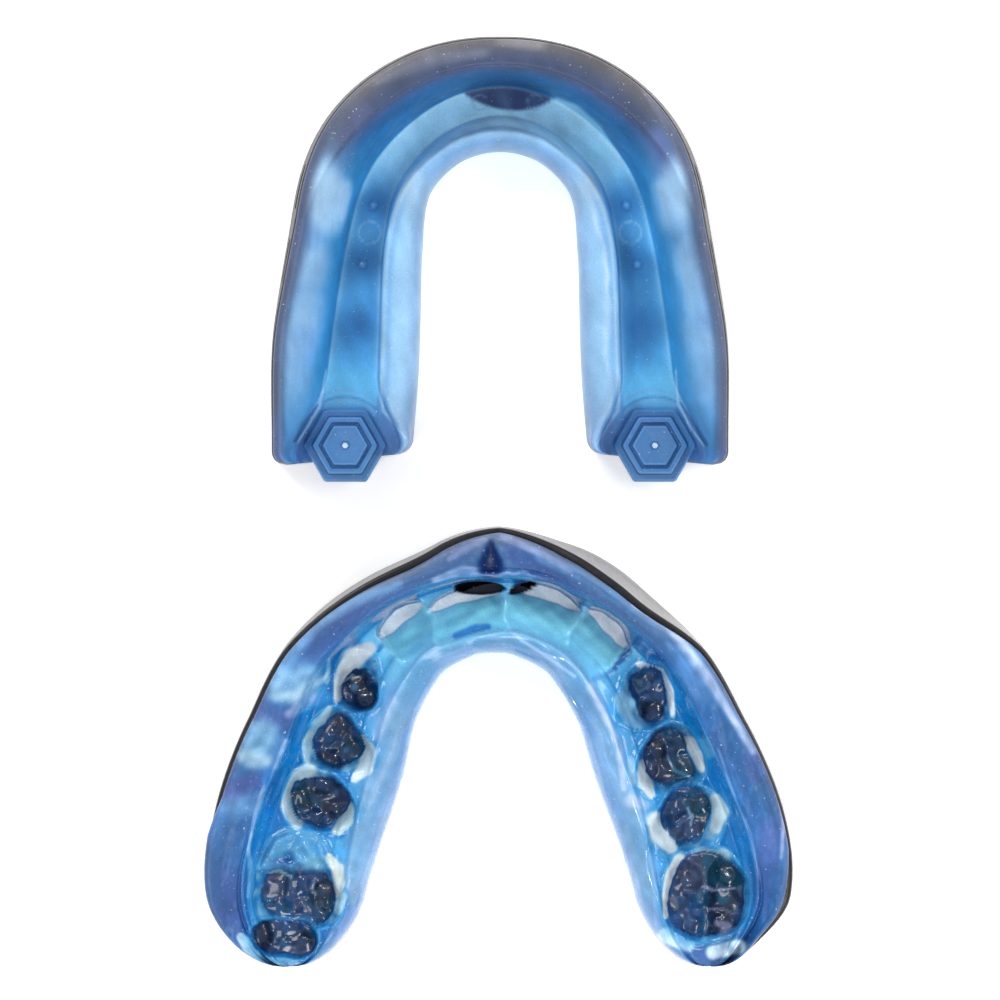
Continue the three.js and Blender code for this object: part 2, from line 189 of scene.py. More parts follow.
# Colours in sRGB out of 255. Each zone of a liner's outline has one at the front, one at
# the side and one at the heel.
# The channels' tones are painted lighter for the light that passes through the gel.
UNFITTED_TONES = {
    "under": ((40, 130, 190), (60, 140, 200), (70, 94, 156)),
    "outside": ((140, 190, 226), (176, 206, 232), (90, 110, 160)),
    "lip": ((98, 96, 100), (86, 92, 116), (80, 88, 120)),
    "rim_out": ((96, 95, 100), (84, 104, 140), (72, 98, 144)),
    "rim_mid": ((74, 82, 102), (108, 156, 202), (80, 128, 184)),
    "rim_in": ((54, 68, 102), (118, 164, 206), (84, 146, 202)),
    "wall_top": ((56, 82, 128), (126, 172, 214), (84, 150, 206)),
    "wall_mid": ((44, 92, 148), (122, 170, 212), (84, 150, 206)),
    "wall_low": ((18, 100, 160), (92, 156, 204), (90, 162, 218)),
    "wall_foot": ((16, 110, 174), (56, 148, 204), (92, 164, 220)),
    "floor_edge": ((176, 224, 244), (150, 206, 236), (88, 134, 190)),
    "floor": ((156, 216, 246), (78, 164, 218), (62, 118, 178)),
    "ridge_foot": ((176, 224, 248), (110, 176, 224), (100, 150, 204)),
    "ridge_top": ((150, 196, 226), (150, 190, 216), (130, 168, 206)),
    "tongue": ((118, 166, 212), (136, 184, 222), (116, 150, 188)),
    "tongue_edge": ((124, 164, 204), (140, 176, 212), (118, 148, 184)),
}
FITTED_TONES = {
    "under": ((0, 106, 180), (0, 106, 180), (60, 90, 150)),
    "outside": ((120, 180, 220), (170, 200, 224), (80, 104, 160)),
    "lip": ((96, 108, 136), (68, 92, 138), (54, 88, 140)),
    "rim_out": ((92, 112, 144), (48, 98, 152), (38, 88, 142)),
    "rim_mid": ((54, 92, 144), (34, 92, 150), (34, 84, 140)),
    "rim_in": ((44, 88, 140), (32, 94, 160), (36, 86, 146)),
    "wall_top": ((42, 92, 150), (34, 106, 174), (36, 88, 150)),
    "wall_mid": ((48, 110, 168), (60, 126, 186), (50, 96, 152)),
    "wall_low": ((30, 110, 170), (20, 116, 184), (40, 100, 160)),
    "wall_foot": ((20, 110, 174), (6, 112, 186), (30, 100, 164)),
    "floor_edge": ((70, 170, 220), (30, 132, 200), (60, 100, 160)),
    "floor": ((110, 196, 236), (46, 146, 210), (66, 104, 162)),
    "ridge_foot": ((110, 190, 230), (84, 164, 220), (78, 132, 196)),
    "ridge_top": ((120, 184, 224), (124, 176, 220), (100, 146, 196)),
    "tongue": ((84, 144, 190), (110, 158, 198), (88, 134, 184)),
    "tongue_edge": ((110, 160, 204), (130, 166, 208), (100, 140, 190)),
}
WALL_DARK = (38, 84, 134)
TEAL = (14, 112, 182)
SKY = (148, 236, 255)
PALE = (176, 214, 240)
LINE = (170, 216, 240)
SPOT = (34, 108, 168)
LENS = (36, 60, 106)
SATIN_DEEP = (40, 78, 136)
HALO = (6, 112, 180)
SLIVER = (234, 238, 242)
NAVY = (22, 38, 64)
NAVY_TEAL = (14, 62, 84)
NAVY_BLUE = (26, 66, 112)
NAVY_PURPLE = (50, 60, 90)
RIDGE_HIGHLIGHT = (112, 120, 150)
HOLE = (5, 6, 10)

# The unfitted posts: how far each stands out and back from its CAD node, and its outline from the
# platform's side to the dimple: width across flats, depth below the top, corner rounding, colour.
# The colours paint highlights on the edges, shade in the grooves and a highlight in the dimple.
POST_OUT, POST_BACK = 0.3, 0.9
POST_FACE, POST_SHADE, POST_HIGHLIGHT = (64, 116, 170), (52, 98, 152), (88, 140, 192)
POST_PROFILE = (
    (8.7, 1.9, 0.5, POST_FACE), (8.62, 1.35, 0.5, POST_HIGHLIGHT), (8.35, 1.1, 0.5, POST_HIGHLIGHT),
    (8.0, 1.02, 0.5, POST_FACE), (7.3, 0.98, 0.45, POST_FACE), (7.0, 0.9, 0.4, POST_SHADE),
    (6.85, 0.6, 0.4, POST_SHADE), (6.72, 0.2, 0.4, POST_HIGHLIGHT), (6.5, 0.04, 0.35, POST_HIGHLIGHT),
    (6.2, 0, 0.35, POST_FACE), (5.7, 0.03, 0.3, POST_FACE), (5.5, 0.15, 0.3, POST_SHADE),
    (5.35, 0.42, 0.3, POST_SHADE), (5.1, 0.5, 0.3, POST_SHADE), (4.8, 0.42, 0.3, POST_SHADE),
    (4.65, 0.18, 0.3, POST_HIGHLIGHT), (4.45, 0.06, 0.3, POST_HIGHLIGHT), (4.1, 0.04, 0.25, POST_FACE),
    (3.0, 0.14, 0.2, POST_FACE), (1.8, 0.28, 0.15, POST_FACE), (1.1, 0.36, 0.1, POST_FACE),
    (0.8, 0.62, 0.05, POST_SHADE), (0.55, 0.8, 0.05, (200, 226, 246)),
    (0.1, 0.8, 0.02, (214, 236, 250)),
)

# Strokes: colour, strength, softness of the edge, then (x, y, half width) along it.
# painted highlights along the front rim, and two darker patches at its corners
RIM_HIGHLIGHT_STROKES = [
    ((134, 138, 156), 0.45, 1, [(-14.6, 49.4, 0.4), (-11.4, 50.9, 0.7), (-8.4, 52.1, 0.9),
        (-1.9, 52.8, 0.5)]),
    ((150, 150, 152), 0.5, 0.8, [(0.1, 54.2, 0.6), (4.7, 53.9, 0.7)]),
    ((136, 134, 146), 0.6, 0.7, [(17, 48.4, 0.3), (20.4, 43.4, 0.4), (22.2, 38.2, 0.3)]),
    ((84, 88, 122), 0.5, 0.8, [(-18.5, 43, 1), (-16.2, 46, 1)]),
    ((86, 104, 164), 0.6, 0.8, [(18.6, 43, 1), (19.8, 39.5, 1.2)]),
]
# pale patches of painted light from the frame's windows on the flanges, and bluer patches between
FLANGE_LIGHT_STROKES = [
    ((176, 214, 242), 0.85, 0.55, [(-20, 36.4, 2.2), (-20.4, 34.2, 2.4)]),
    ((184, 218, 242), 0.5, 0.9, [(-18.2, 37.6, 0.5), (-18.8, 34, 0.6)]),
    ((172, 208, 238), 0.7, 0.7, [(19, 37.2, 0.9), (20.4, 34.2, 1.9)]),
    ((178, 212, 238), 0.4, 0.9, [(22.2, 28, 0.6), (22.6, 23, 0.6)]),
    ((158, 202, 240), 0.5, 0.9, [(-21.6, 28.6, 1.4), (-21.8, 26.4, 1.2)]),
    ((162, 204, 240), 0.6, 0.7, [(-22.4, 23.6, 1.5), (-22.7, 21.4, 1.5)]),
    ((104, 146, 204), 0.45, 0.8, [(-23.4, 19.6, 1.3), (-22.6, 18.8, 1)]),
    ((140, 184, 228), 0.5, 0.9, [(23.2, 29.5, 1.6), (24, 24, 1.3)]),
    ((134, 180, 226), 0.5, 0.9, [(-23.4, 19, 1.4), (-23.8, 14, 1.2)]),
    ((136, 182, 228), 0.5, 0.9, [(24.2, 17.5, 1.6), (24.8, 13, 1.2)]),
    ((76, 120, 188), 0.35, 0.9, [(-23, 31.8, 1.2), (-22.6, 30.6, 1)]),
    ((92, 130, 196), 0.4, 0.9, [(25.2, 20.8, 0.9), (24.4, 21.2, 1)]),
]
# painted light along the right of the front floor, and a darker streak on its left
FLOOR_LIGHT_AND_DARK_STROKES = [
    ((178, 230, 252), 0.7, 0.5, [(6.6, 47.9, 0.3), (8.8, 46.8, 0.5), (11.6, 44.5, 0.45),
        (14, 41.4, 0.3)]),
    ((14, 92, 152), 0.7, 0.5, [(-4.6, 49.3, 0.3), (-7.2, 48.2, 0.5), (-9.8, 46.6, 0.4)]),
]
# painted highlights on the heels' folds with painted shade in their creases, and bluer patches
HEEL_LIGHT_AND_SHADE_STROKES = [
    ((160, 208, 236), 0.7, 0.6, [(-20.8, 15.6, 0.13), (-21.6, 11.2, 0.16), (-23, 9, 0.16),
        (-24.2, 7, 0.1)]),
    ((44, 86, 140), 0.7, 0.6, [(-21.9, 11.4, 0.1), (-23.3, 9.2, 0.3), (-24.5, 7.1, 0.16)]),
    ((160, 208, 236), 0.7, 0.6, [(21, 15.6, 0.13), (21.3, 11.6, 0.16), (23, 8.6, 0.16),
        (24.4, 6.6, 0.1)]),
    ((44, 86, 140), 0.7, 0.6, [(21.6, 11.8, 0.1), (23.3, 8.8, 0.3), (24.7, 6.7, 0.16)]),
    ((176, 214, 238), 0.6, 0.6, [(-14.2, 15, 0.14), (-14, 10.8, 0.18), (-11.2, 7.4, 0.1)]),
    ((176, 214, 238), 0.6, 0.6, [(14.3, 15, 0.14), (14.1, 10.8, 0.18), (11.6, 6.8, 0.1)]),
    ((92, 134, 188), 0.6, 0.5, [(-13.4, 8.6, 1.2), (-12.6, 6, 1)]),
    ((92, 134, 188), 0.6, 0.5, [(13.4, 8.6, 1.2), (12.6, 6, 1)]),
]
FITTED_STROKES = [
    # the lip side, left: painted shade in a fold, a painted highlight along the rim, painted light
    # from the windows and what lies between
    ((50, 84, 150), 0.75, 0.6, [(-10.8, -11.3, 1), (-16.8, -13.5, 1.3), (-21.1, -16.4, 1.6),
        (-22.6, -18.3, 1)]),
    ((112, 166, 216), 0.7, 0.7, [(-12, -9.9, 0.5), (-17.8, -12.1, 0.7), (-21.6, -14.5, 0.7),
        (-24.5, -17.8, 0.8), (-26.4, -20.9, 0.8)]),
    ((168, 190, 230), 0.7, 0.6, [(-7.7, -9.4, 0.35), (-4.6, -8.2, 0.5), (-2.4, -8.2, 0.3)]),
    ((100, 156, 208), 0.6, 0.9, [(-24.7, -20.2, 1.4), (-22.6, -20, 1.2)]),
    ((140, 188, 222), 0.85, 0.6, [(-25.6, -21.9, 1.9), (-22.9, -21.6, 1.8)]),
    ((190, 216, 228), 0.55, 0.9, [(-26.4, -23, 0.6), (-24.5, -23.3, 0.8), (-22.6, -22.2, 0.7),
        (-21.1, -21.2, 0.5)]),
    ((198, 228, 242), 0.85, 0.4, [(-20.3, -18.7, 0.12), (-20.6, -21.4, 0.4)]),
    ((36, 84, 146), 0.8, 0.5, [(-17.3, -17.3, 0.8), (-19.2, -18.8, 0.8), (-19.9, -22.6, 0.5)]),
    ((74, 92, 160), 0.7, 0.8, [(-28.1, -25.3, 1.3), (-25.7, -26, 1.1)]),
    ((184, 194, 230), 0.65, 0.7, [(-22.3, -23.6, 0.8), (-25, -25.3, 0.5)]),
    ((132, 184, 218), 0.85, 0.6, [(-28.1, -27.8, 1.9), (-28.9, -29.7, 1.9)]),
    ((190, 214, 222), 0.6, 0.8, [(-30.3, -30.2, 0.8), (-29, -30.8, 0.9), (-27.6, -30.8, 0.6)]),
    ((62, 72, 134), 0.75, 0.7, [(-32.6, -33.5, 1.1), (-31.9, -34.7, 1.2), (-29.3, -33.2, 1.1)]),
    ((116, 164, 208), 0.6, 0.7, [(-31.9, -36.4, 1.4), (-29.5, -35.9, 1.2)]),
    ((52, 102, 160), 0.6, 0.9, [(-32.4, -38.8, 1.8), (-32.6, -43, 1.8)]),
    ((56, 78, 142), 0.65, 0.8, [(-31.9, -45.8, 2), (-32.4, -48.7, 1.8), (-31.2, -51, 1)]),
    ((194, 208, 238), 0.6, 0.6, [(-25.4, -28.5, 0.3), (-26.9, -32.1, 0.35), (-28.3, -34.7, 0.25),
        (-29.2, -37.6, 0.2), (-29.9, -41.5, 0.2), (-29.7, -43.9, 0.3), (-30, -47.2, 0.2)]),
    # the lip side, right: painted shade in a fold, two painted highlights, and purple towards the
    # heel
    ((36, 70, 136), 0.75, 0.6, [(1.6, -6.1, 1), (7.2, -10.1, 1.1), (12.2, -13.5, 1),
        (15.6, -16.4, 0.9), (19.4, -19.3, 0.8)]),
    ((92, 150, 210), 0.6, 0.7, [(4.8, -6.8, 0.5), (8.9, -8.5, 0.6), (14.2, -11.6, 0.8),
        (18.5, -14.5, 0.9), (21.8, -18.3, 1.2), (24.2, -22.6, 1.4)]),
    ((150, 164, 206), 0.7, 0.6, [(0.4, -4.2, 0.5), (5, -6.3, 0.4), (8.4, -8.3, 0.3)]),
    ((140, 156, 198), 0.6, 0.6, [(-1.4, -4.3, 0.35), (-4.1, -5.7, 0.4), (-6, -6.9, 0.3)]),
    ((196, 212, 244), 0.85, 0.8, [(15.8, -12.2, 0.3), (19.5, -14.5, 0.45), (21.9, -17.2, 0.55),
        (24.6, -20.9, 0.55), (27.3, -25.3, 0.45), (30, -29.7, 0.35)]),
    ((172, 188, 228), 0.75, 0.6, [(30.8, -29.6, 0.3), (32.8, -33.4, 0.25), (33.6, -37.6, 0.25),
        (33.4, -42.4, 0.2)]),
    ((74, 84, 158), 0.5, 0.8, [(29.8, -30.7, 1), (30.2, -32.3, 1)]),
    ((76, 92, 164), 0.6, 0.8, [(32, -38.8, 1.2), (31.7, -42.4, 1.4)]),
    ((50, 84, 158), 0.6, 0.8, [(31.2, -44.8, 1.3), (30.6, -47.6, 1.2)]),
    ((150, 172, 222), 0.6, 0.6, [(25.9, -29.5, 0.15), (28.1, -35.9, 0.16), (29.8, -39.5, 0.16),
        (31, -45.3, 0.1)]),
    # the tongue side: folds and streaks
    ((192, 206, 240), 0.7, 0.7, [(10.8, -22.1, 0.5), (12.2, -25, 0.4), (14.2, -29.1, 0.4),
        (14.4, -31.6, 0.4), (14.8, -34.3, 0.3)]),
    ((100, 152, 212), 0.6, 0.7, [(9.8, -23.8, 0.5), (11.3, -27.4, 0.5), (13.2, -32.8, 0.5),
        (14.6, -38.1, 0.5)]),
    ((192, 206, 240), 0.8, 0.6, [(15.6, -35.7, 0.8), (17.4, -36.3, 0.5)]),
    ((176, 204, 238), 0.7, 0.6, [(1, -15.2, 0.2), (2.6, -16.6, 0.2), (6, -18.8, 0.2),
        (8.9, -20.9, 0.2)]),
    ((176, 204, 238), 0.6, 0.8, [(-13, -24, 0.8), (-14.8, -28, 0.7)]),
    ((120, 168, 222), 0.6, 0.7, [(-12.6, -22, 0.5), (-15, -25.5, 0.5)]),
    ((84, 184, 238), 0.7, 0.7, [(-19.4, -41.5, 1.3), (-20.6, -40.5, 0.9)]),
    ((84, 124, 184), 0.8, 0.4, [(-18.2, -49.8, 1.5), (-19.4, -51, 1.3)]),
    # strong blue in the gaps beside the crowns
    ((10, 104, 180), 0.85, 0.5, [(-27.1, -32.8, 1), (-26.9, -35.2, 0.8), (-26.4, -38.3, 0.9)]),
    ((14, 90, 168), 0.8, 0.6, [(-29, -44.8, 0.6), (-29, -47.7, 0.6)]),
    ((8, 98, 182), 0.85, 0.4, [(-20.6, -32.1, 0.6), (-18.3, -32.8, 0.8)]),
    ((6, 106, 190), 0.8, 0.5, [(-24.7, -38.9, 0.5), (-21.1, -39.4, 0.7), (-19.2, -39.6, 0.7)]),
    ((14, 108, 184), 0.85, 0.5, [(25.3, -32.3, 1), (25.6, -33.2, 0.9)]),
    ((20, 112, 186), 0.8, 0.5, [(27.6, -36, 0.8), (28.3, -40.5, 1)]),
    ((70, 142, 206), 0.7, 0.5, [(11.3, -21.2, 0.4), (13.2, -20.2, 0.4)]),
    ((20, 110, 180), 0.8, 0.5, [(-14.2, -17.4, 0.35), (-14.5, -17.9, 0.2)]),
    ((124, 200, 234), 0.8, 0.5, [(10.1, -12.8, 0.3), (15.6, -17.8, 0.35), (17, -19, 0.3)]),
    # pale thin gel along the heels' ends
    ((216, 238, 246), 0.95, 0.3, [(-30.9, -52, 0.5), (-29.9, -53.2, 0.8), (-28.7, -54.1, 0.7)]),
    ((190, 224, 240), 0.95, 0.35, [(-28.7, -54.3, 0.6), (-26.9, -55, 0.5), (-24.5, -55.1, 0.4)]),
    ((206, 232, 244), 1, 0.3, [(19.9, -51.9, 1), (22.4, -53, 0.9)]),
    ((214, 234, 244), 1, 0.3, [(25.5, -53.9, 0.9), (28.4, -53.2, 0.9)]),
]
# Pale crescents of painted light on the crowns' walls, after two blue dashes, then painted glints and
# odd tints in the bitten pits.
LIT_CRESCENTS = [
    ((44, 122, 200), 0.8, 0.6, [(-1.4, -15, 0.35), (-2.9, -15.2, 0.5), (-5.3, -16.1, 0.4)]),
    ((20, 92, 160), 0.9, 0.4, [(15.3, -17.9, 0.45), (13.7, -19.9, 0.3)]),
    ((208, 213, 217), 0.9, 0.3, [(-15.6, -17.6, 0.79), (-17.5, -18.8, 1.36), (-19, -21.4, 0.79),
        (-19.4, -23.6, 0.44)]),
    ((206, 222, 228), 0.95, 0.3, [(-16.6, -28.3, 0.51), (-15.6, -29.9, 0.93), (-16.1, -31.9, 0.93),
        (-17.3, -33.1, 0.51)]),
    ((176, 206, 216), 0.8, 0.35, [(-20.4, -24.8, 0.37), (-21.6, -26.9, 0.65), (-23, -28.7, 0.58),
        (-23, -30.9, 0.37)]),
    ((190, 210, 216), 0.85, 0.35, [(-22.8, -32.2, 1.07), (-24.2, -32.8, 0.65), (-25.2, -34.7, 0.51),
        (-25.7, -36.4, 0.51), (-24.2, -38.6, 0.65)]),
    ((198, 222, 224), 0.9, 0.3, [(-17.9, -36.4, 0.44), (-18.2, -38.1, 0.79), (-19.4, -39.3, 0.65)]),
    ((216, 228, 224), 0.95, 0.3, [(-20.4, -42.4, 0.37), (-19.4, -43.9, 0.79), (-19.2, -45.5, 0.72),
        (-19.4, -47, 0.44)]),
    ((172, 214, 234), 0.8, 0.4, [(-18.7, -47.2, 0.51), (-19.4, -48.9, 0.51)]),
    ((226, 238, 244), 0.95, 0.3, [(16.6, -19.5, 0.4), (19.2, -20.4, 0.45), (20.3, -22.6, 0.4),
        (20.6, -25.5, 0.3)]),
    ((154, 200, 220), 0.7, 0.5, [(14.6, -23.8, 1.07), (15.6, -25.5, 1.21)]),
    ((208, 220, 220), 0.95, 0.3, [(17.3, -31.6, 0.79), (17.3, -33.5, 0.93), (18, -35, 0.51)]),
    ((152, 192, 226), 0.8, 0.4, [(15.6, -30.9, 0.44), (15.8, -33.5, 0.44)]),
    ((212, 224, 226), 0.95, 0.3, [(22.6, -28.7, 0.65), (23.5, -30.4, 0.65), (24, -31.9, 0.44)]),
    ((130, 186, 220), 0.5, 0.6, [(24.2, -28.5, 0.45), (25, -30.2, 0.45)]),
    ((210, 222, 224), 0.95, 0.3, [(18.5, -38.1, 1.07), (19.2, -39.8, 1.36), (20.4, -41.3, 0.79)]),
    ((198, 218, 222), 0.9, 0.3, [(25.7, -35.5, 0.65), (26.4, -37.1, 0.93), (25.7, -39.1, 0.65)]),
    ((222, 232, 230), 0.95, 0.3, [(21.4, -42.9, 0.79), (20.2, -44.8, 0.58), (19.7, -47.2, 0.37),
        (19.8, -49.6, 0.3)]),
    ((192, 194, 204), 0.8, 0.4, [(24.5, -42.4, 0.93)]),
    ((178, 208, 216), 0.8, 0.4, [(26.6, -42.4, 0.93)]),
]
GLINTS = [
    ((84, 160, 200), 0.9, 0.4, [(-17.4, -22.3, 0.45)]),
    ((110, 150, 170), 0.7, 0.4, [(-18.6, -21.6, 0.12), (-17.6, -20.8, 0.14), (-16.6, -21.2, 0.1)]),
    ((90, 124, 146), 0.7, 0.4, [(15.9, -21.9, 0.14), (16.5, -22.8, 0.14), (17.6, -22.5, 0.14),
        (17.9, -21.6, 0.12)]),
    ((100, 140, 156), 0.7, 0.5, [(16.7, -21.8, 0.35)]),
    ((70, 160, 206), 0.8, 0.5, [(-18.4, -29.8, 0.3)]),
    ((60, 90, 130), 0.5, 0.6, [(-18.6, -30.2, 0.9)]),
    ((96, 100, 112), 0.6, 0.6, [(-20.9, -46.3, 0.6)]),
    ((130, 150, 170), 0.7, 0.4, [(-22.2, -45.2, 0.12), (-22.5, -46.4, 0.15), (-22, -47.2, 0.1)]),
    ((150, 204, 226), 0.7, 0.4, [(-27.8, -44.5, 0.14), (-26.4, -44.2, 0.16), (-25, -45, 0.14)]),
    ((118, 116, 130), 0.7, 0.5, [(20.7, -47.7, 0.5), (21, -48.6, 0.4)]),
    ((14, 74, 100), 0.8, 0.5, [(26.7, -45.1, 0.9)]),
    ((20, 90, 110), 0.7, 0.5, [(26.7, -47.5, 0.8)]),
    ((150, 160, 190), 0.75, 0.4, [(24.3, -46.1, 0.12), (25.6, -46.6, 0.2), (28, -46.4, 0.12)]),
    ((120, 118, 140), 0.7, 0.4, [(24.8, -48.9, 0.12), (26.6, -48.8, 0.15), (28, -49.5, 0.12)]),
    ((136, 136, 172), 0.8, 0.5, [(26, -50.6, 0.4), (27.2, -50.9, 0.5), (26.6, -52, 0.5)]),
    ((140, 180, 214), 0.75, 0.4, [(22.4, -36.8, 0.12), (23, -37.8, 0.2), (22.8, -38.8, 0.12)]),
    ((90, 170, 210), 0.6, 0.5, [(20, -30.6, 0.12), (20.8, -32.2, 0.2), (23, -33.2, 0.12)]),
]


# ---- numbers ----------------------------------------------------------------

def smooth(x, low, high):
    """0 below low, 1 above high, and a smooth step between them; low may be above high."""
    t = np.clip((x - low) / (high - low), 0, 1)
    return t * t * (3 - 2 * t)


def catmull(points, at):
    """A Catmull-Rom curve through equally spaced points, with its ends held, at 0 to 1."""
    points = np.asarray(points, float)
    last = len(points) - 1
    place = np.clip(at, 0, 1) * last
    i = np.minimum(place.astype(int), last - 1)
    t = place - i
    p0, p1, p2, p3 = (points[np.clip(i + k, 0, last)] for k in (-1, 0, 1, 2))
    if points.ndim > 1:
        t = t[..., None]
    v0, v1 = (p2 - p0) / 2, (p3 - p1) / 2
    cubic, square = 2 * p1 - 2 * p2 + v0 + v1, -3 * p1 + 3 * p2 - 2 * v0 - v1
    return cubic * t**3 + square * t**2 + v0 * t + p1


def bump(distance, radius):
    """A soft round spot: 1 at distance 0, about a third at the radius."""
    return np.exp(-((distance / radius) ** 2))


def spot(x, y, centre, half, turn=0.0):
    """The distance from the centre of a turned ellipse, 1 on its edge."""
    c, s = math.cos(math.radians(turn)), math.sin(math.radians(turn))
    dx, dy = x - centre[0], y - centre[1]
    return np.hypot((dx * c + dy * s) / half[0], (-dx * s + dy * c) / half[1])


def stroke(x, y, points):
    """The distance from a line through (x, y, half width) points, 1 on its edge."""
    best = np.full(x.shape, 1e3)
    if len(points) == 1:
        points = points * 2
    for (ax, ay, ar), (bx, by, br) in zip(points, points[1:]):
        dx, dy = bx - ax, by - ay
        t = np.clip(((x - ax) * dx + (y - ay) * dy) / max(dx * dx + dy * dy, 1e-6), 0, 1)
        best = np.minimum(best, np.hypot(x - ax - dx * t, y - ay - dy * t) / (ar + (br - ar) * t))
    return best


class Waves:
    """Smooth seeded noise about 0, made of sines about size millimetres long."""

    def __init__(self, seed, size, count=14):
        rng = np.random.default_rng(seed)
        direction = rng.normal(size=(count, 3))
        direction /= np.linalg.norm(direction, axis=1)[:, None]
        self.k = direction * (2 * math.pi / size) * rng.uniform(0.5, 1.6, (count, 1))
        self.phase = rng.uniform(0, 2 * math.pi, count)

    def __call__(self, p):
        return np.sin(p @ self.k.T + self.phase).sum(-1) / math.sqrt(len(self.phase) / 2)


class Paint:
    """Layers of colour over every vertex."""

    def __init__(self, rgb):
        self.rgb = np.array(rgb, float)
        self.shine = np.ones(self.rgb.shape[:-1])

    def lay(self, mask, colour):
        mask = np.clip(mask, 0, 1)[..., None]
        self.rgb = self.rgb * (1 - mask) + np.asarray(colour, float) * mask

    def strokes(self, x, y, where, lines):
        """Lays each line of (colour, strength, softness, points)."""
        for colour, strength, soft, points in lines:
            self.lay(smooth(stroke(x, y, points), 1 + soft, 1 - soft) * strength * where, colour)

    def shade(self, amount):
        """Lightens where amount is above 0, darkens where it is below."""
        self.rgb = self.rgb * (1 + amount[..., None])


def srgb(colour):
    """Linear values of an sRGB colour out of 255."""
    c = np.clip(np.asarray(colour, float) / 255, 0, 1)
    return np.where(c <= 0.04045, c / 12.92, ((c + 0.055) / 1.055) ** 2.4)


# ---- the arch ---------------------------------------------------------------

class Arch:
    """A guard's centre line, read at a turn of -1 (left heel), 0 (front) to 1 (right heel)."""

    def __init__(self, guard):
        half = guard["centre"]
        self.guard = guard
        points = [(-x, y) for x, y in half[:0:-1]] + list(half)
        self.line = catmull(points, np.linspace(0, 1, 3001))
        step = np.linalg.norm(np.diff(self.line, axis=0), axis=1)
        self.walked = np.concatenate([[0], np.cumsum(step)])
        self.half_length = self.walked[-1] / 2

    def along(self, walked):
        """Points at lengths walked from the left heel."""
        return np.stack([np.interp(walked, self.walked, self.line[:, c]) for c in (0, 1)], -1)

    def at(self, turn):
        """Points and the directions out to the lips at each turn."""
        walked = (np.asarray(turn) + 1) * self.half_length
        tangent = self.along(walked + 0.05) - self.along(walked - 0.05)
        tangent /= np.linalg.norm(tangent, axis=-1)[..., None]
        return self.along(walked), np.stack([-tangent[..., 1], tangent[..., 0]], -1)

    def away(self, turn, x, y, aside=0.0):
        """The distance in plan from the centre line's point at a turn, moved aside along x."""
        (px, py), _ = self.at(np.array(turn))
        return np.hypot(x - px + aside, y - py)

    def nearest(self, x, y):
        """The way out to the lips beside a place."""
        line, out = self.at(np.linspace(-1, 1, 1601))
        return out[np.argmin(np.hypot(line[:, 0] - x, line[:, 1] - y))]

    def value(self, name, share):
        return catmull(self.guard[name], share)

    def narrowing(self, share):
        """How much narrower the guard is in plan, because its heels are rounded."""
        length, depth = self.guard["heel_round"]
        short = np.clip(1 - (1 - share) * self.half_length / length, 0, 1)
        return 1 - depth * (1 - np.sqrt(1 - short**2))


def spline_weights(samples):
    """Weights that turn a closed control outline into a smooth closed line, with samples[i] points
    on the stretch from control point i to the next."""
    count = len(samples)
    rows = []
    for i, n in enumerate(samples):
        for t in np.arange(n) / n:
            row = np.zeros(count)
            basis = [(1 - t) ** 3 / 6, (3 * t**3 - 6 * t**2 + 4) / 6,
                     (-3 * t**3 + 3 * t**2 + 3 * t + 1) / 6, t**3 / 6]
            for k, b in zip((-1, 0, 1, 2), basis):
                row[(i + k) % count] += b
            rows.append(row)
    return np.array(rows)


# ---- sections ---------------------------------------------------------------

def frame_lean(arch, turn):
    """How far the frame's rim stands in from its foot."""
    lean = arch.value("lean", np.abs(turn))
    if arch.guard["name"] == "fitted":
        right = 0.1 + 1.2 * smooth(turn, 0.0, 0.2) * smooth(turn, 0.4, 0.25)
        lean = np.where(turn < 0, lean * 0.4, right)
    return lean


def foot_of(arch, turn):
    """How far the frame's foot stands from the centre line."""
    foot = arch.value("outer", np.abs(turn))
    if arch.guard["name"] == "fitted":
        foot = foot - 0.6 * bump(-turn - 0.13, 0.09) - 0.5 * bump(turn - 0.07, 0.05)
    return foot


def rim_shown(arch, turn):
    """How much of the frame's rim shows outside the liner; below 0, how far the liner hides it."""
    if arch.guard["name"] == "unfitted":
        return arch.value("overlap", np.abs(turn))
    left = np.interp(-turn, *zip(*FITTED_RIM_LEFT))
    right = np.interp(turn, *zip(*FITTED_RIM_RIGHT))
    return np.where(turn < 0, left, right)


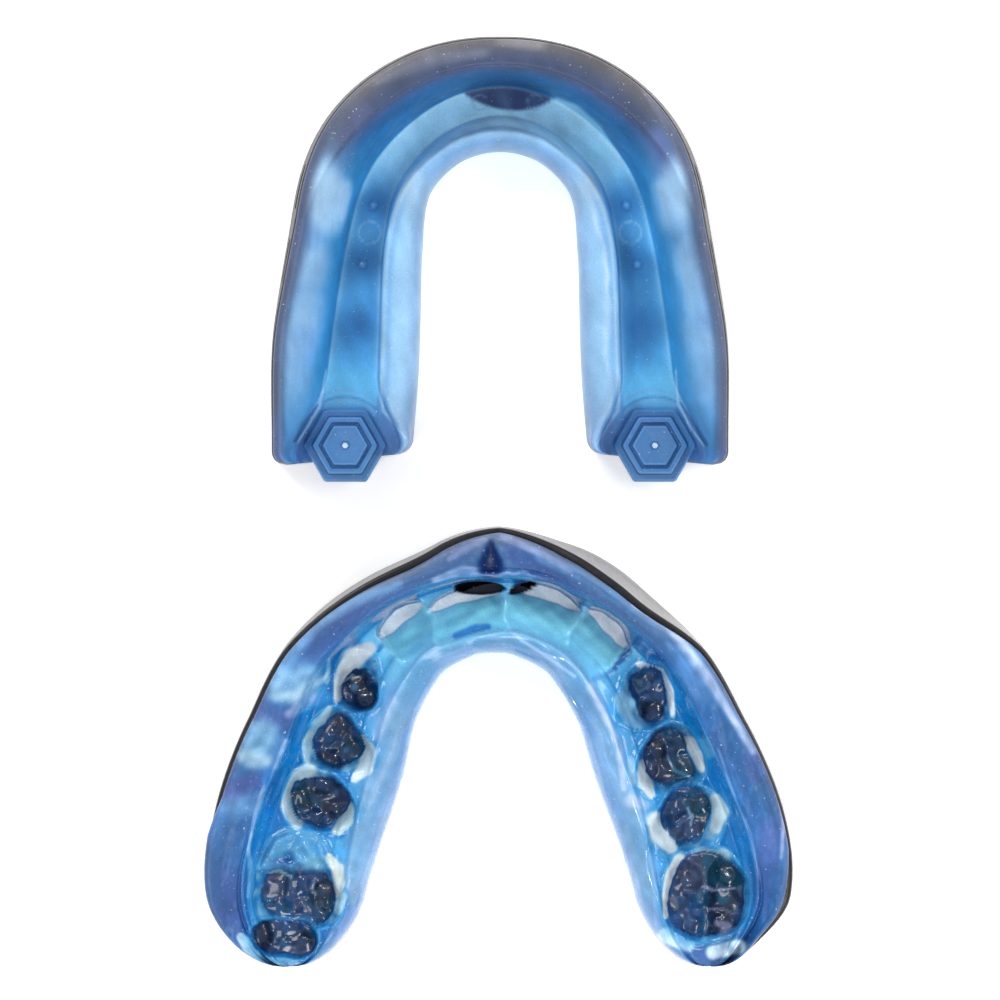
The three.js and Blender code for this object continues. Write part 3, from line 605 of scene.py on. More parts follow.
def liner_section(arch, turn):
    """The liner's outline: rows of place, how many samples follow it, and its zone's colours."""
    share = np.abs(turn)
    names = ("inner", "rim", "shoulder", "shoulder_rise", "floor", "crest", "ridge", "rim_top",
             "crest_top", "floor_top", "base")
    g = {name: arch.value(name, share) for name in names}
    fitted = arch.guard["name"] == "fitted"
    tones = FITTED_TONES if fitted else UNFITTED_TONES
    slope = 1.4 if fitted else 0.0
    floor = g["floor"] + smooth(share, 0.8, 1.0) * arch.guard["heel_flare"]
    foot = foot_of(arch, turn) - FRAME_WALL - BOND
    edge = foot_of(arch, turn) - frame_lean(arch, turn) - rim_shown(arch, turn)
    top, low = g["rim_top"], g["floor_top"]
    rim, shoulder = np.minimum(g["rim"], edge - 1.2), np.maximum(g["shoulder"], floor + 0.5)
    rise = low + g["shoulder_rise"]
    crest_top, tongue = g["crest_top"], g["inner"]
    crest = np.minimum(np.maximum(g["ridge"], floor + (0.8 if fitted else 0.4)), tongue - 0.9)
    seat = g["base"] + BOND
    back = -(g["crest"] - 0.4) - BOND
    inside = np.minimum(foot - 0.25, edge - 0.3)
    rows = [
        ((foot - 0.3, seat), 2, "under"),
        ((foot, seat + 0.5), 4, "under"),
        ((foot - 0.02, seat + 3), 9, "outside"),
        ((foot - 0.2, seat + 7), 5, "outside"),
        ((inside, top - 3.0), 3, "under"),
        ((inside, top - RIM_STEP - 0.3), 3, "lip"),
        ((edge - 0.3, top - RIM_STEP), 3, "lip"),
        ((edge, top - RIM_STEP + 0.05), 3, "lip"),
        ((edge, top - 0.5), 4, "lip"),
        ((edge - 0.2, top - 0.1), 4, "lip"),
        ((edge - 0.7, top), 6, "rim_out"),
        ((edge * 0.55 + rim * 0.45, top - slope * 0.5), 7, "rim_mid"),
        ((rim + 0.45, top - 0.05 - slope), 5, "rim_in"),
        ((rim + 0.1, top - 0.2 - slope), 4, "rim_in"),
        ((rim - 0.15, top - 0.9 - slope), 6, "wall_top"),
        ((rim * 0.62 + shoulder * 0.38, top * 0.66 + rise * 0.34 - slope * 0.5), 9, "wall_mid"),
        ((rim * 0.2 + shoulder * 0.8, top * 0.26 + rise * 0.74), 8, "wall_low"),
        ((shoulder - 0.15, rise - 0.6), 7, "wall_foot"),
        ((floor + 0.3, low + 1.0), 6, "wall_foot"),
        ((floor + 0.08, low + 0.2), 5, "wall_foot"),
        ((floor - 0.08, low + 0.02), 5, "floor_edge"),
        ((floor - 0.5, low), 9, "floor"),
        ((floor * 0.3, low), 9, "floor"),
        ((-floor * 0.3, low), 9, "floor"),
        ((-floor + 0.5, low), 6, "floor"),
        ((-floor + 0.08, low + 0.02), 5, "floor_edge"),
        ((-floor * 0.97 - crest * 0.03, low + 0.3), 6, "ridge_foot"),
        ((-floor * 0.75 - crest * 0.25, low * 0.7 + crest_top * 0.3), 8, "ridge_foot"),
        ((-crest + 0.25, crest_top - 1.2), 6, "ridge_foot"),
        ((-crest + 0.02, crest_top - 0.3), 6, "ridge_top"),
        ((-crest - 0.3, crest_top), 6, "ridge_top"),
        ((-crest - 0.8, crest_top - 0.1), 6, "tongue"),
        (((-crest - tongue) / 2 - 0.3, crest_top - 0.6), 6, "tongue"),
        ((-tongue + 0.35, crest_top - 1.7), 6, "tongue_edge"),
        ((-tongue, crest_top - 3.6), 6, "tongue_edge"),
        ((-tongue, 4.5), 5, "outside"),
        ((-tongue, 1.8), 3, "outside"),
        ((-tongue + 0.35, 0.85), 3, "outside"),
        ((-tongue + 1.1, 0.75), 3, "outside"),
        ((back - 0.1, 0.8), 3, "under"),
        ((back, seat), 3, "under"),
        ((0 * back, seat), 3, "under"),
    ]
    return [(place, samples, tones[zone]) for place, samples, zone in rows]


def frame_section(arch, turn):
    """The frame's outline, in rows like the liner's."""
    share = np.abs(turn)
    foot = foot_of(arch, turn)
    top = arch.value("rim_top", share) - RIM_STEP + 0.15
    base = arch.value("base", share)
    lean = frame_lean(arch, turn)
    rim = foot - lean
    back = -(arch.value("crest", share) - 0.4)
    black = ((17, 17, 20),) * 3
    places = [
        ((foot - 0.9, 0 * foot), 3),
        ((foot - 0.2, 0.02), 3),
        ((foot, 0.35), 3),
        ((foot, base + 0.6), 6),
        ((foot - lean * 0.4, base + 3.5), 7),
        ((rim + 0.05, top - 2.4), 6),
        ((rim, top - 0.5), 3),
        ((rim - 0.1, top - 0.08), 3),
        ((rim - 0.4, top), 3),
        ((rim - FRAME_WALL + 0.3, top), 3),
        ((rim - FRAME_WALL + 0.05, top - 0.2), 3),
        ((rim - FRAME_WALL + 0.05, top - 2.4), 4),
        ((foot - FRAME_WALL - 0.2, base + 3), 4),
        ((foot - FRAME_WALL, base + 0.7), 3),
        ((foot - FRAME_WALL - 0.3, base), 3),
        ((0 * foot, base), 3),
        ((back, base), 2),
        ((back, base - 0.3), 2),
        ((back, 0.4), 2),
        ((back + 0.3, 0.02), 2),
        ((0 * foot, 0 * foot), 3),
    ]
    return [(place, n, black) for place, n in places]


# ---- meshes -----------------------------------------------------------------

def sweep(arch, section, count):
    """Rings of points round the arch, with the width, turn, way out and colour of each point."""
    even = np.linspace(-1, 1, count)
    turns = 0.65 * even + 0.35 * np.sin(even * math.pi / 2)
    share = np.abs(turns)
    rows = section(arch, turns)
    weights = spline_weights([n for _, n, _ in rows])
    controls = [np.stack([np.broadcast_to(v, count) for v in place], -1) for place, _, _ in rows]
    ring = np.einsum("vk,skc->svc", weights, np.stack(controls, 1))
    front, side, heel = (np.array([colours[i] for _, _, colours in rows], float) for i in range(3))
    to_side = smooth(share, 0.26, 0.42)[:, None, None]
    to_heel = smooth(share, 0.8, 0.95)[:, None, None]
    tones = front * (1 - to_side) + side * to_side
    tones = tones * (1 - to_heel) + heel * to_heel
    rgb = np.einsum("vk,skc->svc", weights, tones)
    width = ring[..., 0] * arch.narrowing(share)[:, None]
    slim = arch.guard["slim_right_heel"] * smooth(turns, 0.86, 0.97)[:, None]
    width = width - np.maximum(width, 0) * slim
    point, out = arch.at(turns)
    xy = point[:, None] + out[:, None] * width[..., None]
    # the heels end further back on the lip side, and the fitted guard's front leans to the left
    xy[..., 1] -= width * arch.guard["heel_shear"] * smooth(share, 0.8, 1)[:, None]
    xy[..., 0] -= arch.guard["drift"] * smooth(xy[..., 1], -42, -8) * smooth(xy[..., 1], -5, -13)
    grid = np.concatenate([xy, ring[..., 1:]], -1)
    out = np.broadcast_to(out[:, None], grid[..., :2].shape)
    return grid, width, np.broadcast_to(turns[:, None], width.shape), out, Paint(rgb)


def grid_mesh(name, grid, rgb=None, shine=1.0):
    """A closed mesh from rings of points, capped at both ends, with its colours if it has any."""
    rings, size = grid.shape[:2]
    index = np.arange(rings * size).reshape(rings, size)
    right = np.roll(index, -1, axis=1)
    quads = np.stack([index[:-1], index[1:], right[1:], right[:-1]], -1).reshape(-1, 4)
    faces = quads.tolist() + [index[0].tolist(), index[-1][::-1].tolist()]
    mesh = bpy.data.meshes.new(name)
    mesh.from_pydata((grid.reshape(-1, 3) * MM).tolist(), [], faces)
    mesh.update()
    bm = bmesh.new()
    bm.from_mesh(mesh)
    bmesh.ops.recalc_face_normals(bm, faces=bm.faces)
    bm.to_mesh(mesh)
    bm.free()
    mesh.shade_smooth()
    if rgb is not None:
        tint = mesh.attributes.new("tint", "FLOAT_COLOR", "POINT")
        linear = srgb(rgb).reshape(-1, 3)
        alpha = np.broadcast_to(shine, grid.shape[:2]).reshape(-1)
        tint.data.foreach_set("color", np.column_stack([linear, alpha]).astype(np.float32).ravel())
    return mesh


def add_piece(name, mesh, material):
    piece = bpy.data.objects.new(name, mesh)
    bpy.context.scene.collection.objects.link(piece)
    mesh.materials.append(material)
    return piece


# ---- the unfitted liner -----------------------------------------------------

def window_glow(arch, turn, width, near, far):
    """1 where a window of the frame shows through the lip-side wall."""
    mask = np.zeros(turn.shape)
    for share in arch.guard["windows"]:
        away = (np.abs(turn) - share) * arch.half_length
        across = (width - (near + far) / 2) / ((far - near) / 2)
        mask = np.maximum(mask, smooth(np.hypot(away / 2.9, across), 1.25, 0.55))
    return mask


def swell_in_windows(arch, grid, width, turn, out):
    """Moves the liner's lip-side face out into the frame's windows, and returns where it did."""
    share = np.abs(turn)
    away = np.zeros(turn.shape)
    for window in arch.guard["windows"]:
        along = np.abs(share - window) * arch.half_length
        high = np.abs(grid[..., 2] - arch.guard["window_height"])
        away = np.maximum(away, smooth(along, 2.4, 1.6) * smooth(high, 2.2, 1.5))
    outer = width > arch.value("outer", share) - FRAME_WALL - 0.8
    low = grid[..., 2] < arch.value("rim_top", share) - 2.0
    swelling = away * outer * low
    grid[..., :2] += out * (swelling * WINDOW_SWELL)[..., None]
    return swelling


def paint_unfitted(arch, grid, width, turn, paint):
    """Paints what shows through the new guard's gel: frame, windows, pads, lens and pin marks."""
    lay, share = paint.lay, np.abs(turn)
    x, y, z = np.moveaxis(grid, -1, 0)
    floor, rim, ridge = (arch.value(name, share) for name in ("floor", "rim", "ridge"))
    top = z > arch.value("floor_top", share) - 0.6
    front = smooth(share, 0.36, 0.2)
    side = 1 - front
    clouds, small = Waves(31, 7.0)(grid), Waves(32, 2.6)(grid)
    channel = smooth(np.abs(width), floor + 0.15, floor - 0.1) * top
    wall = smooth(width, floor, floor + 0.3) * smooth(width, rim + 0.2, rim - 0.2) * top
    lip = smooth(width, floor + 0.4, floor + 1.0) * top

    # the front rim's crisp step with painted shade along it, the lens's shade up the wall behind it,
    # painted highlights on the rim, and painted light and a darker streak on the floor
    lay(bump(width - rim + 0.1, 0.22) * smooth(share, 0.42, 0.3) * top * 0.55, (52, 64, 104))
    lay(wall * bump(x - 1.0, 6.5) * smooth(width, 3.4, 1.6) * 0.7, (34, 58, 92))
    paint.strokes(x, y, lip, RIM_HIGHLIGHT_STROKES)
    paint.strokes(x, y, top, FLOOR_LIGHT_AND_DARK_STROKES)

    # painted light from the windows behind the flange, and the frame's dark edge
    glow = window_glow(arch, turn, width, 4.0, 8.6) * top
    lay(glow * np.interp(share, [0.4, 0.5, 0.6, 0.75], [0.7, 0.45, 0.3, 0.25]), PALE)
    paint.strokes(x, y, lip * (1 - 0.3 * smooth(small, 0, 2)), FLANGE_LIGHT_STROKES)
    edge = arch.value("outer", share) - frame_lean(arch, turn) - rim_shown(arch, turn)
    dark = np.interp(share, [0.3, 0.4, 0.52, 0.65, 0.8, 1], [1.6, 2.0, 2.7, 2.2, 2.0, 1.9])
    lay(smooth(edge - width, dark, dark * 0.2) * side * top * 0.95, (72, 84, 114))
    at_heel = smooth(share, 0.86, 0.98)
    lay(lip * at_heel * smooth(width, rim - 0.4, rim + 0.6) * 0.7, (68, 92, 142))

    # painted light on the floor towards the heels, then pads, rings and dots in the floor
    lit_floor = smooth(share, 0.76, 0.82) * smooth(share, 0.91, 0.86)
    lay(channel * side * lit_floor * 0.75, (106, 196, 238))
    for at, radius in arch.guard["pads"]:
        for hand, wider in ((-1, 0.95), (1, 1.15)):
            away = arch.away(hand * at, x, y) * (1 + 0.06 * clouds)
            lay(channel * bump(away, radius * wider) * 0.8, SPOT)
    for hand in (-1, 1):
        away = arch.away(hand * 0.47, x, y, 0.25 * hand)
        lay(channel * bump(away, 1.3) * 0.35, (96, 172, 224))
        lay(channel * bump(away - 1.3, 0.13) * 0.45, LINE)
        for at in (0.405, 0.545):
            away = arch.away(hand * at, x, y)
            lay(channel * bump(away, 0.3) * 0.75, (120, 184, 228))
            lay(channel * bump(away - 0.6, 0.14) * 0.35, (20, 76, 136))

    # the front floor's patches of painted light, and a dark lens at its middle with a pin's ring at
    # each end
    lay(channel * front * smooth(clouds, 0.2, 1.6) * 0.4, (176, 212, 240))
    away = np.hypot(np.abs(x) - 11.6, y - 40.8)
    lay(channel * front * bump(away, 2.6) * 0.4, (118, 212, 240))
    lay(channel * front * bump(np.hypot(x - 9.2, y - 46.0), 2.4) * 0.5, (184, 232, 252))
    deep = floor - width - 2.7 * (1 - ((x - 0.95) / 5.3) ** 2)
    lens = smooth(deep, 0.3, -0.3) * channel * (share < 0.3)
    lay(lens * (0.92 + 0.05 * small), LENS)
    for cx in (-2.4, 4.2):
        away = np.hypot(x - cx, y - 47.6)
        lay(channel * bump(away - 0.9, 0.1) * 0.5, (120, 156, 196))

    # tongue side: a painted highlight along the ridge's edge, an arc along the front, a soft streak
    # along the flange
    tongue = smooth(width, -floor - 0.2, -floor - 0.6) * top
    ahead = smooth(share, 0.95, 0.85)
    lay(tongue * bump(width + ridge, 0.14) * (0.5 + 0.2 * small) * ahead, (190, 226, 244))
    lay(tongue * front * bump(width + 3.1, 0.2) * 0.4, (110, 160, 206))
    patchy = smooth(small, -0.5, 1.5)
    lay(tongue * front * bump(width + 4.6, 0.5) * patchy * 0.35, (120, 158, 206))
    lay(tongue * side * bump(width + ridge + 0.75, 0.45) * ahead * 0.6, (96, 150, 206))
    streak = bump(width + ridge + 1.3 + 0.2 * small, 0.35) * smooth(turn, 0.2, 0.4)
    lay(tongue * streak * (0.4 + 0.2 * clouds) * ahead, (184, 208, 236))
    lay(tongue * bump(np.hypot(np.abs(x) - 11.0, y - 37.6), 2.4) * 0.5, (188, 208, 218))

    # heels: painted highlights and shade along the creases, and rings of painted light and shade
    # round the posts
    paint.strokes(x, y, top, HEEL_LIGHT_AND_SHADE_STROKES)
    for radius, tone in ((5.3, (120, 164, 206)), (5.75, (56, 100, 156)), (6.5, (112, 160, 204))):
        for hand in (-1, 1):
            away = np.hypot(x - 18.6 * hand, (y - 6.4) * 0.95)
            lay(bump(away - radius, 0.16) * smooth(y, 8.6, 10.0) * channel * 0.5, tone)
    paint.shade(0.03 * clouds + 0.015 * small)


# ---- the fitted liner -------------------------------------------------------

def round_outline(radii, angle):
    """A smooth closed outline through radii at equal turns, read at an angle."""
    waves = np.fft.rfft(radii) / len(radii)
    total = np.full(angle.shape, waves[0].real)
    for k in range(1, len(waves)):
        scale = 1 if 2 * k == len(radii) else 2
        total += scale * (waves[k] * np.exp(1j * k * angle)).real
    return total


def press_back_teeth(grid, channel, paint):
    """Presses each back tooth into the liner, paints its print, and returns where the pits are."""
    lay = paint.lay
    x, y = grid[..., 0].copy(), grid[..., 1].copy()
    flat = grid * [1, 1, 0]
    rough, patches = Waves(41, 1.9)(flat), Waves(45, 3.6)(flat)
    wobble = 0.12 * Waves(43, 3.2)(flat) + 0.04 * Waves(44, 1.2)(flat)
    tones = [NAVY, NAVY_BLUE, NAVY_TEAL, NAVY_PURPLE, NAVY, NAVY_BLUE]
    pits = np.zeros(x.shape)
    for number, ((cx, cy), low, pit_radii, crown_radii, hollows) in enumerate(BACK_TEETH):
        dx, dy = x - cx, y - cy
        away, angle = np.hypot(dx, dy), np.arctan2(dy, dx)
        pit = round_outline(pit_radii, angle) + wobble
        crown = np.maximum(round_outline(crown_radii, angle) + 0.5 * wobble, pit + 0.12)
        inside = (away < crown) & channel
        near = (away < crown + 2.0) & channel
        halo = np.where(near, bump(np.maximum(away - crown, 0), 0.8), 0)
        lay(halo * 0.6, HALO)
        lay(near * bump(away - crown - 0.18, 0.13) * 0.35, (134, 200, 232))

        # each cusp has its own cup, and the cups meet in creases
        distances = np.stack([np.hypot(dx - hx, dy - hy) + 0.12 * rough for hx, hy in hollows])
        share_of = np.exp(-CUSP_SHARPNESS * distances)
        near_cusp = -np.log(share_of.sum(0)) / CUSP_SHARPNESS
        share_of = share_of / share_of.sum(0)
        order = np.sort(distances, axis=0)
        crease = bump(order[1] - order[0], 0.35)
        cup = np.clip(near_cusp / 2.0, 0, 1.2) ** 2 * 1.1
        bottom = low + cup + 0.02 * rough
        wall = smooth(away, pit * 0.94, crown)
        grid[..., 2] = np.where(inside, bottom + (grid[..., 2] - bottom) * wall, grid[..., 2])
        grid[..., 2] += near * bump(away - crown - 0.35, 0.3) * 0.22

        # the crown's walls, with painted light on them, then the pit's floor
        walls = inside * smooth(away, pit - 0.08, pit + 0.1)
        floor_mask = inside * smooth(away, pit + 0.08, pit - 0.08)
        wall_light = smooth(crown - pit, 0.35, 0.8) * smooth(away, crown + 0.02, crown - 0.12)
        lay(walls, TEAL)
        bare = np.where((number == SQUEEZED_TOOTH) & (dy > 3.0), 0.0, 1.0)
        lay(walls * wall_light * (0.4 + 0.2 * rough) * bare, (150, 200, 224))
        pits = np.maximum(pits, floor_mask)
        shades = [tones[(number + k) % len(tones)] for k in range(len(hollows))]
        lay(floor_mask, np.einsum("ksv,kc->svc", share_of, shades))
        lay(floor_mask * smooth(patches, 0.2, 1.5) * 0.55, (62, 92, 142))
        lay(floor_mask * smooth(patches, -0.5, -1.5) * 0.4, (14, 84, 110))
        # painted highlights along the creases between the cusps
        lay(floor_mask * crease * smooth(rough, -0.6, 1.2) * 0.3, RIDGE_HIGHLIGHT)
        lay(floor_mask * bump(order[0] - 0.9, 0.3) * 0.3, (10, 16, 30))
        lay(floor_mask * smooth(order[0], 0.7, 0.1) * 0.3, (40, 84, 130))
        lay(floor_mask * smooth(away, pit - 0.9, pit - 0.1) * 0.3, (24, 70, 140))
        if number == SQUEEZED_TOOTH:
            ahead = inside * smooth(dy, 2.6, 3.6)
            grid[..., 2] += ahead * smooth(away, crown, crown - 1.0) * 1.1 * (1 + 0.2 * rough)
            lay(ahead * (0.85 + 0.1 * rough), (86, 160, 208))
            dark = spot(x, y, (cx - 1.6, cy + 4.3), (1.5, 0.6))
            lay(ahead * bump(dark, 1.0), (16, 78, 146))
            light = spot(x, y, (cx + 1.8, cy + 4.0), (1.4, 0.8))
            lay(ahead * bump(light, 1.0) * 0.7, (150, 206, 226))
    return pits


def press_front_teeth(arch, grid, channel, paint):
    """A pale biting edge by the lips and a sky-blue slope behind it for each front tooth."""
    lay = paint.lay
    x, y = grid[..., 0].copy(), grid[..., 1].copy()
    rough = Waves(51, 2.2)(grid * [1, 1, 0])
    for (cx, cy), half, bow, thick in FRONT_TEETH:
        # a runs along the biting edge, -1 to 1, and b out to the lips, in millimetres
        ox, oy = arch.nearest(cx, cy)
        a = ((x - cx) * oy - (y - cy) * ox) / half
        b = (x - cx) * ox + (y - cy) * oy
        arc = np.maximum(1 - a**2, 0) ** 0.8
        high = bow * arc + 0.06 * rough
        low = high - thick * np.maximum(1 - np.abs(a) ** 3, 0)
        across = smooth(np.abs(a), 1.02, 0.9) * channel
        bed = 6.3 + 0.05 * rough + 1.1 * smooth(np.abs(a), 0.8, 1.0)
        slope = bed + 0.95 * np.maximum(low - b, 0)
        target = np.where(b > low, bed, slope)
        press = across * smooth(b, high + 0.55, high) * smooth(b, -4.4, -3.2)
        grid[..., 2] += (np.minimum(target, grid[..., 2] + 0.6) - grid[..., 2]) * press

        shadow = bump(np.maximum(b - high, 0), 0.7) * smooth(b, high - 0.1, high + 0.1)
        lay(across * shadow * 0.7, WALL_DARK)
        # the slope behind each edge is painted lighter for the light that passes through the gel
        behind = across * smooth(b, low + 0.1, low - 0.1) * smooth(b, -5.0, -3.0)
        lay(behind * (0.94 + 0.03 * rough), SKY)
        lay(behind * smooth(b, -2.4, -3.4) * 0.2, (60, 140, 212))
        sliver = across * smooth(b, high + 0.08, high - 0.1) * smooth(b, low - 0.1, low + 0.1)
        lay(sliver * (0.94 + 0.05 * rough), SLIVER)
        lay(across * bump(b - low, 0.12) * 0.45, (110, 150, 190))
        seam = bump(np.abs(a) - 1.0, 0.05) * channel * smooth(b, 1.2, 0.6) * smooth(b, -4.0, -3.0)
        grid[..., 2] += seam * 0.25
        lay(seam * 0.3, (150, 206, 236))


def shape_fitted(arch, grid, width, turn, paint):
    """Folds, presses and paints the bitten guard's gel."""
    lay, share = paint.lay, np.abs(turn)
    x, y = grid[..., 0], grid[..., 1]
    clouds, small = Waves(21, 8.0)(grid), Waves(22, 2.4)(grid)
    stretched = np.stack([turn * arch.half_length / 7.0, width * 1.1, 0 * width], -1)
    streaks, mottle = Waves(23, 1.6)(stretched), Waves(25, 1.1)(grid)
    names = ("rim", "outer", "inner", "crest")
    rim, outer, inner, crest = (arch.value(name, share) for name in names)
    top = grid[..., 2] > arch.value("base", share) + 2.2
    flange = smooth(width, rim - 0.6, rim + 0.4) * top
    tongue_side = smooth(width, -crest + 0.6, -crest - 0.6) * top
    satin = np.interp(share, [0.1, 0.3], [0.6, 1.0])
    paint.shine = 1 - smooth(width, rim - 0.8, rim + 0.4) * satin

    # lumps and folds that the fitting left
    settled = top * (width > -inner + 0.7) * (width < outer - 1.6)
    grid[..., 2] += settled * (0.14 * clouds + 0.05 * streaks)
    grid[..., 2] += flange * (width < outer - 1.0) * (0.05 * streaks + 0.03 * mottle)

    # broad tones, then strokes
    lay(flange * smooth(mottle, 0.3, 1.8) * 0.25, (84, 144, 202))
    lay(flange * smooth(streaks, -0.5, -1.6) * 0.2, SATIN_DEEP)
    lay(flange * smooth(clouds, 0.6, 1.6) * 0.25, (74, 138, 200))
    deep = smooth(width, rim + 0.2, rim - 0.8) * smooth(width, 1.0, 3.0)
    deep = deep * smooth(share, 0.3, 0.45) * top * smooth(share, 0.9, 0.78)
    lay(deep * (0.4 + 0.12 * clouds), HALO)
    lay(tongue_side * smooth(streaks, 0.2, 1.4) * 0.35, (160, 188, 228))
    lay(tongue_side * smooth(streaks, -0.4, -1.5) * 0.35, (84, 142, 200))
    lay(tongue_side * bump(width + inner - 0.3, 0.3) * 0.5, (96, 142, 204))
    lay(tongue_side * bump(width + inner - 0.95, 0.14) * 0.3, (84, 132, 190))
    dappled = 0.85 + 0.15 * np.clip(small, -1, 1)
    paint.strokes(x, y, top * dappled, FITTED_STROKES)

    channel = top & (width > -inner + 0.9) & (width < outer - 2.0)
    press_front_teeth(arch, grid, channel, paint)
    pits = press_back_teeth(grid, channel, paint)
    paint.strokes(x, y, channel * (1 - pits), LIT_CRESCENTS)
    paint.strokes(x, y, channel * (0.5 + 0.5 * pits), GLINTS)

    # the notch for the lip's frenulum with painted shade in it, and the breathing slots
    (mx, my), _ = arch.at(np.array(0.0))
    narrowed = 1.6 - 1.1 * smooth(y, my + 3.0, my + 6.6)
    notch = spot(x, y, (mx - 1.1, my + 4.5), (narrowed, 2.3))
    grid[..., 2] -= smooth(notch, 1.3, 0.3) * 1.7 * (grid[..., 2] > 9)
    lay(smooth(notch, 1.35, 0.75) * top * 0.95, (12, 44, 102))
    paint.shine *= 1 - smooth(notch, 1.4, 0.9)
    edge = bump(width - 2.7 - 0.2 * small, 0.22) * smooth(share, 0.12, 0.02) * top
    lay(edge * 0.7, (150, 168, 218))
    for centre, half_long, half_wide, angle in SLOTS:
        inside = smooth(spot(x, y, centre, (half_long, half_wide), angle), 1.08, 0.96)
        sunk = grid[..., 2] * (1 - inside) + 5.0 * inside
        grid[..., 2] = np.where(channel, sunk, grid[..., 2])
        lay(inside * channel, HOLE)
    paint.shade((0.03 * clouds + 0.02 * small) * (1 - 0.8 * smooth(share, 0.34, 0.24)))


# ---- materials --------------------------------------------------------------

class Nodes:
    """Short calls for building a material."""

    def __init__(self, name):
        self.material = bpy.data.materials.new(name)
        self.material.use_nodes = True
        self.tree = self.material.node_tree
        self.shader = self.tree.nodes["Principled BSDF"]
        self.place = self.add("ShaderNodeTexCoord").outputs["Object"]

    def add(self, kind, **settings):
        node = self.tree.nodes.new(kind)
        for key, value in settings.items():
            setattr(node, key, value)
        return node

    def link(self, source, target):
        """Links a socket, or sets a plain value on the target's own socket."""
        if hasattr(source, "is_output"):
            self.tree.links.new(source, target)
        else:
            target.default_value = source

    def put(self, **inputs):
        """Sets or links the shader's inputs; an underscore stands for a space in a name."""
        for name, value in inputs.items():
            self.link(value, self.shader.inputs[name.replace("_", " ")])

    def noise(self, size, detail=2.0, roughness=0.5, distortion=0.0):
        """Noise whose lumps are about size millimetres."""
        node = self.add("ShaderNodeTexNoise")
        for name, value in (("Vector", self.place), ("Scale", 1 / (size * MM)), ("Detail", detail),
                            ("Roughness", roughness), ("Distortion", distortion)):
            self.link(value, node.inputs[name])
        return node.outputs["Fac"]

    def ramp(self, value, *stops):
        """A colour ramp over stops of (position, sRGB colour or plain number)."""
        node = self.add("ShaderNodeValToRGB")
        ramp = node.color_ramp
        while len(ramp.elements) < len(stops):
            ramp.elements.new(0.5)
        for element, (position, colour) in zip(ramp.elements, stops):
            element.position = position
            element.color = (*(srgb(colour) if isinstance(colour, tuple) else (colour,) * 3), 1)
        self.link(value, node.inputs["Fac"])
        return node.outputs["Color"]

    def mix(self, share, a, b, blend="MIX"):
        node = self.add("ShaderNodeMix", data_type="RGBA", blend_type=blend)
        self.link(share, node.inputs["Factor"])
        self.link(a, node.inputs["A"])
        self.link(b, node.inputs["B"])
        return node.outputs["Result"]

    def bumps(self, *layers):
        """Raised detail: each layer is (height, strength, how far it stands in millimetres)."""
        normal = None
        for height, strength, distance in layers:
            node = self.add("ShaderNodeBump")
            self.link(strength, node.inputs["Strength"])
            self.link(distance * MM, node.inputs["Distance"])
            self.link(height, node.inputs["Height"])
            if normal is not None:
                self.link(normal, node.inputs["Normal"])
            normal = node.outputs["Normal"]
        self.link(normal, self.shader.inputs["Normal"])


def gel_material(name, glossy):
    """Gel whose colour is the tint painted on its points; the fitted guard's is wet and glossy."""
    n = Nodes(name)
    tint = n.add("ShaderNodeAttribute", attribute_name="tint")
    colour = tint.outputs["Color"]
    for cloud, dark, light in ((n.noise(1.6, 4), 0.95, 1.05), (n.noise(0.22, 2), 0.92, 1.07)):
        colour = n.mix(1.0, colour, n.ramp(cloud, (0.3, dark), (0.7, light)), "MULTIPLY")
    # white specks: painted sparkle highlights and flecks of dust
    sparkle_speck = n.ramp(n.noise(0.3, 1), (0.72, 0.0), (0.8, 0.6))
    colour = n.mix(sparkle_speck, colour, (*srgb((214, 222, 240)), 1))
    if glossy:
        satin = n.ramp(n.noise(0.6, 3), (0.35, 0.36), (0.65, 0.5))
        wet = n.ramp(n.noise(1.1, 3), (0.35, 0.1), (0.65, 0.3))
        rough = n.mix(tint.outputs["Alpha"], satin, wet)
        n.bumps((n.noise(2.6, 1, distortion=0.4), 0.3, 0.2), (n.noise(0.3, 2), 0.16, 0.02))
        coat = n.ramp(colour, (0.003, 0.0), (0.012, 0.28))
        coat = n.mix(tint.outputs["Alpha"], (0.03, 0.03, 0.03, 1), coat)
        n.put(Coat_Weight=coat, Coat_Roughness=0.04)
    else:
        rough = n.ramp(n.noise(1.5, 3), (0.3, 0.36), (0.7, 0.5))
        n.bumps((n.noise(3.5, 2), 0.25, 0.15), (n.noise(0.22, 2), 0.4, 0.03))
    # the holes, which are almost black, don't shine
    shine = n.ramp(colour, (0.003, 0.0), (0.012, 0.5))
    n.put(Base_Color=colour, Roughness=rough, Specular_IOR_Level=shine, IOR=1.45)
    return n.material


def rubber_material(name, colour, light, rough, sheen=0.0):
    """Dull rubber: two tones in clouds, fine grain and slow waves, and a thin sheen."""
    n = Nodes(name)
    n.put(Base_Color=n.ramp(n.noise(1.2, 5, 0.65), (0.3, colour), (0.75, light)),
          Roughness=n.ramp(n.noise(0.7, 3), (0.3, rough), (0.7, rough + 0.14)), IOR=1.48,
          Sheen_Weight=sheen, Sheen_Roughness=0.25, Sheen_Tint=(1, 0.95, 0.96, 1))
    n.bumps((n.noise(0.3, 3), 0.4, 0.04), (n.noise(4.0, 2), 0.3, 0.12))
    return n.material


# ---- pieces -----------------------------------------------------------------

def cut(piece, cutters):
    """Takes the cutters out of a piece and removes them."""
    for cutter in cutters:
        modifier = piece.modifiers.new("cut", "BOOLEAN")
        modifier.operation = "DIFFERENCE"
        modifier.object = cutter
        modifier.solver = "EXACT"
    bpy.context.view_layer.update()
    graph = bpy.context.evaluated_depsgraph_get()
    mesh = bpy.data.meshes.new_from_object(piece.evaluated_get(graph))
    piece.modifiers.clear()
    old = piece.data
    piece.data = mesh
    bpy.data.meshes.remove(old)
    for cutter in cutters:
        bpy.data.objects.remove(cutter)


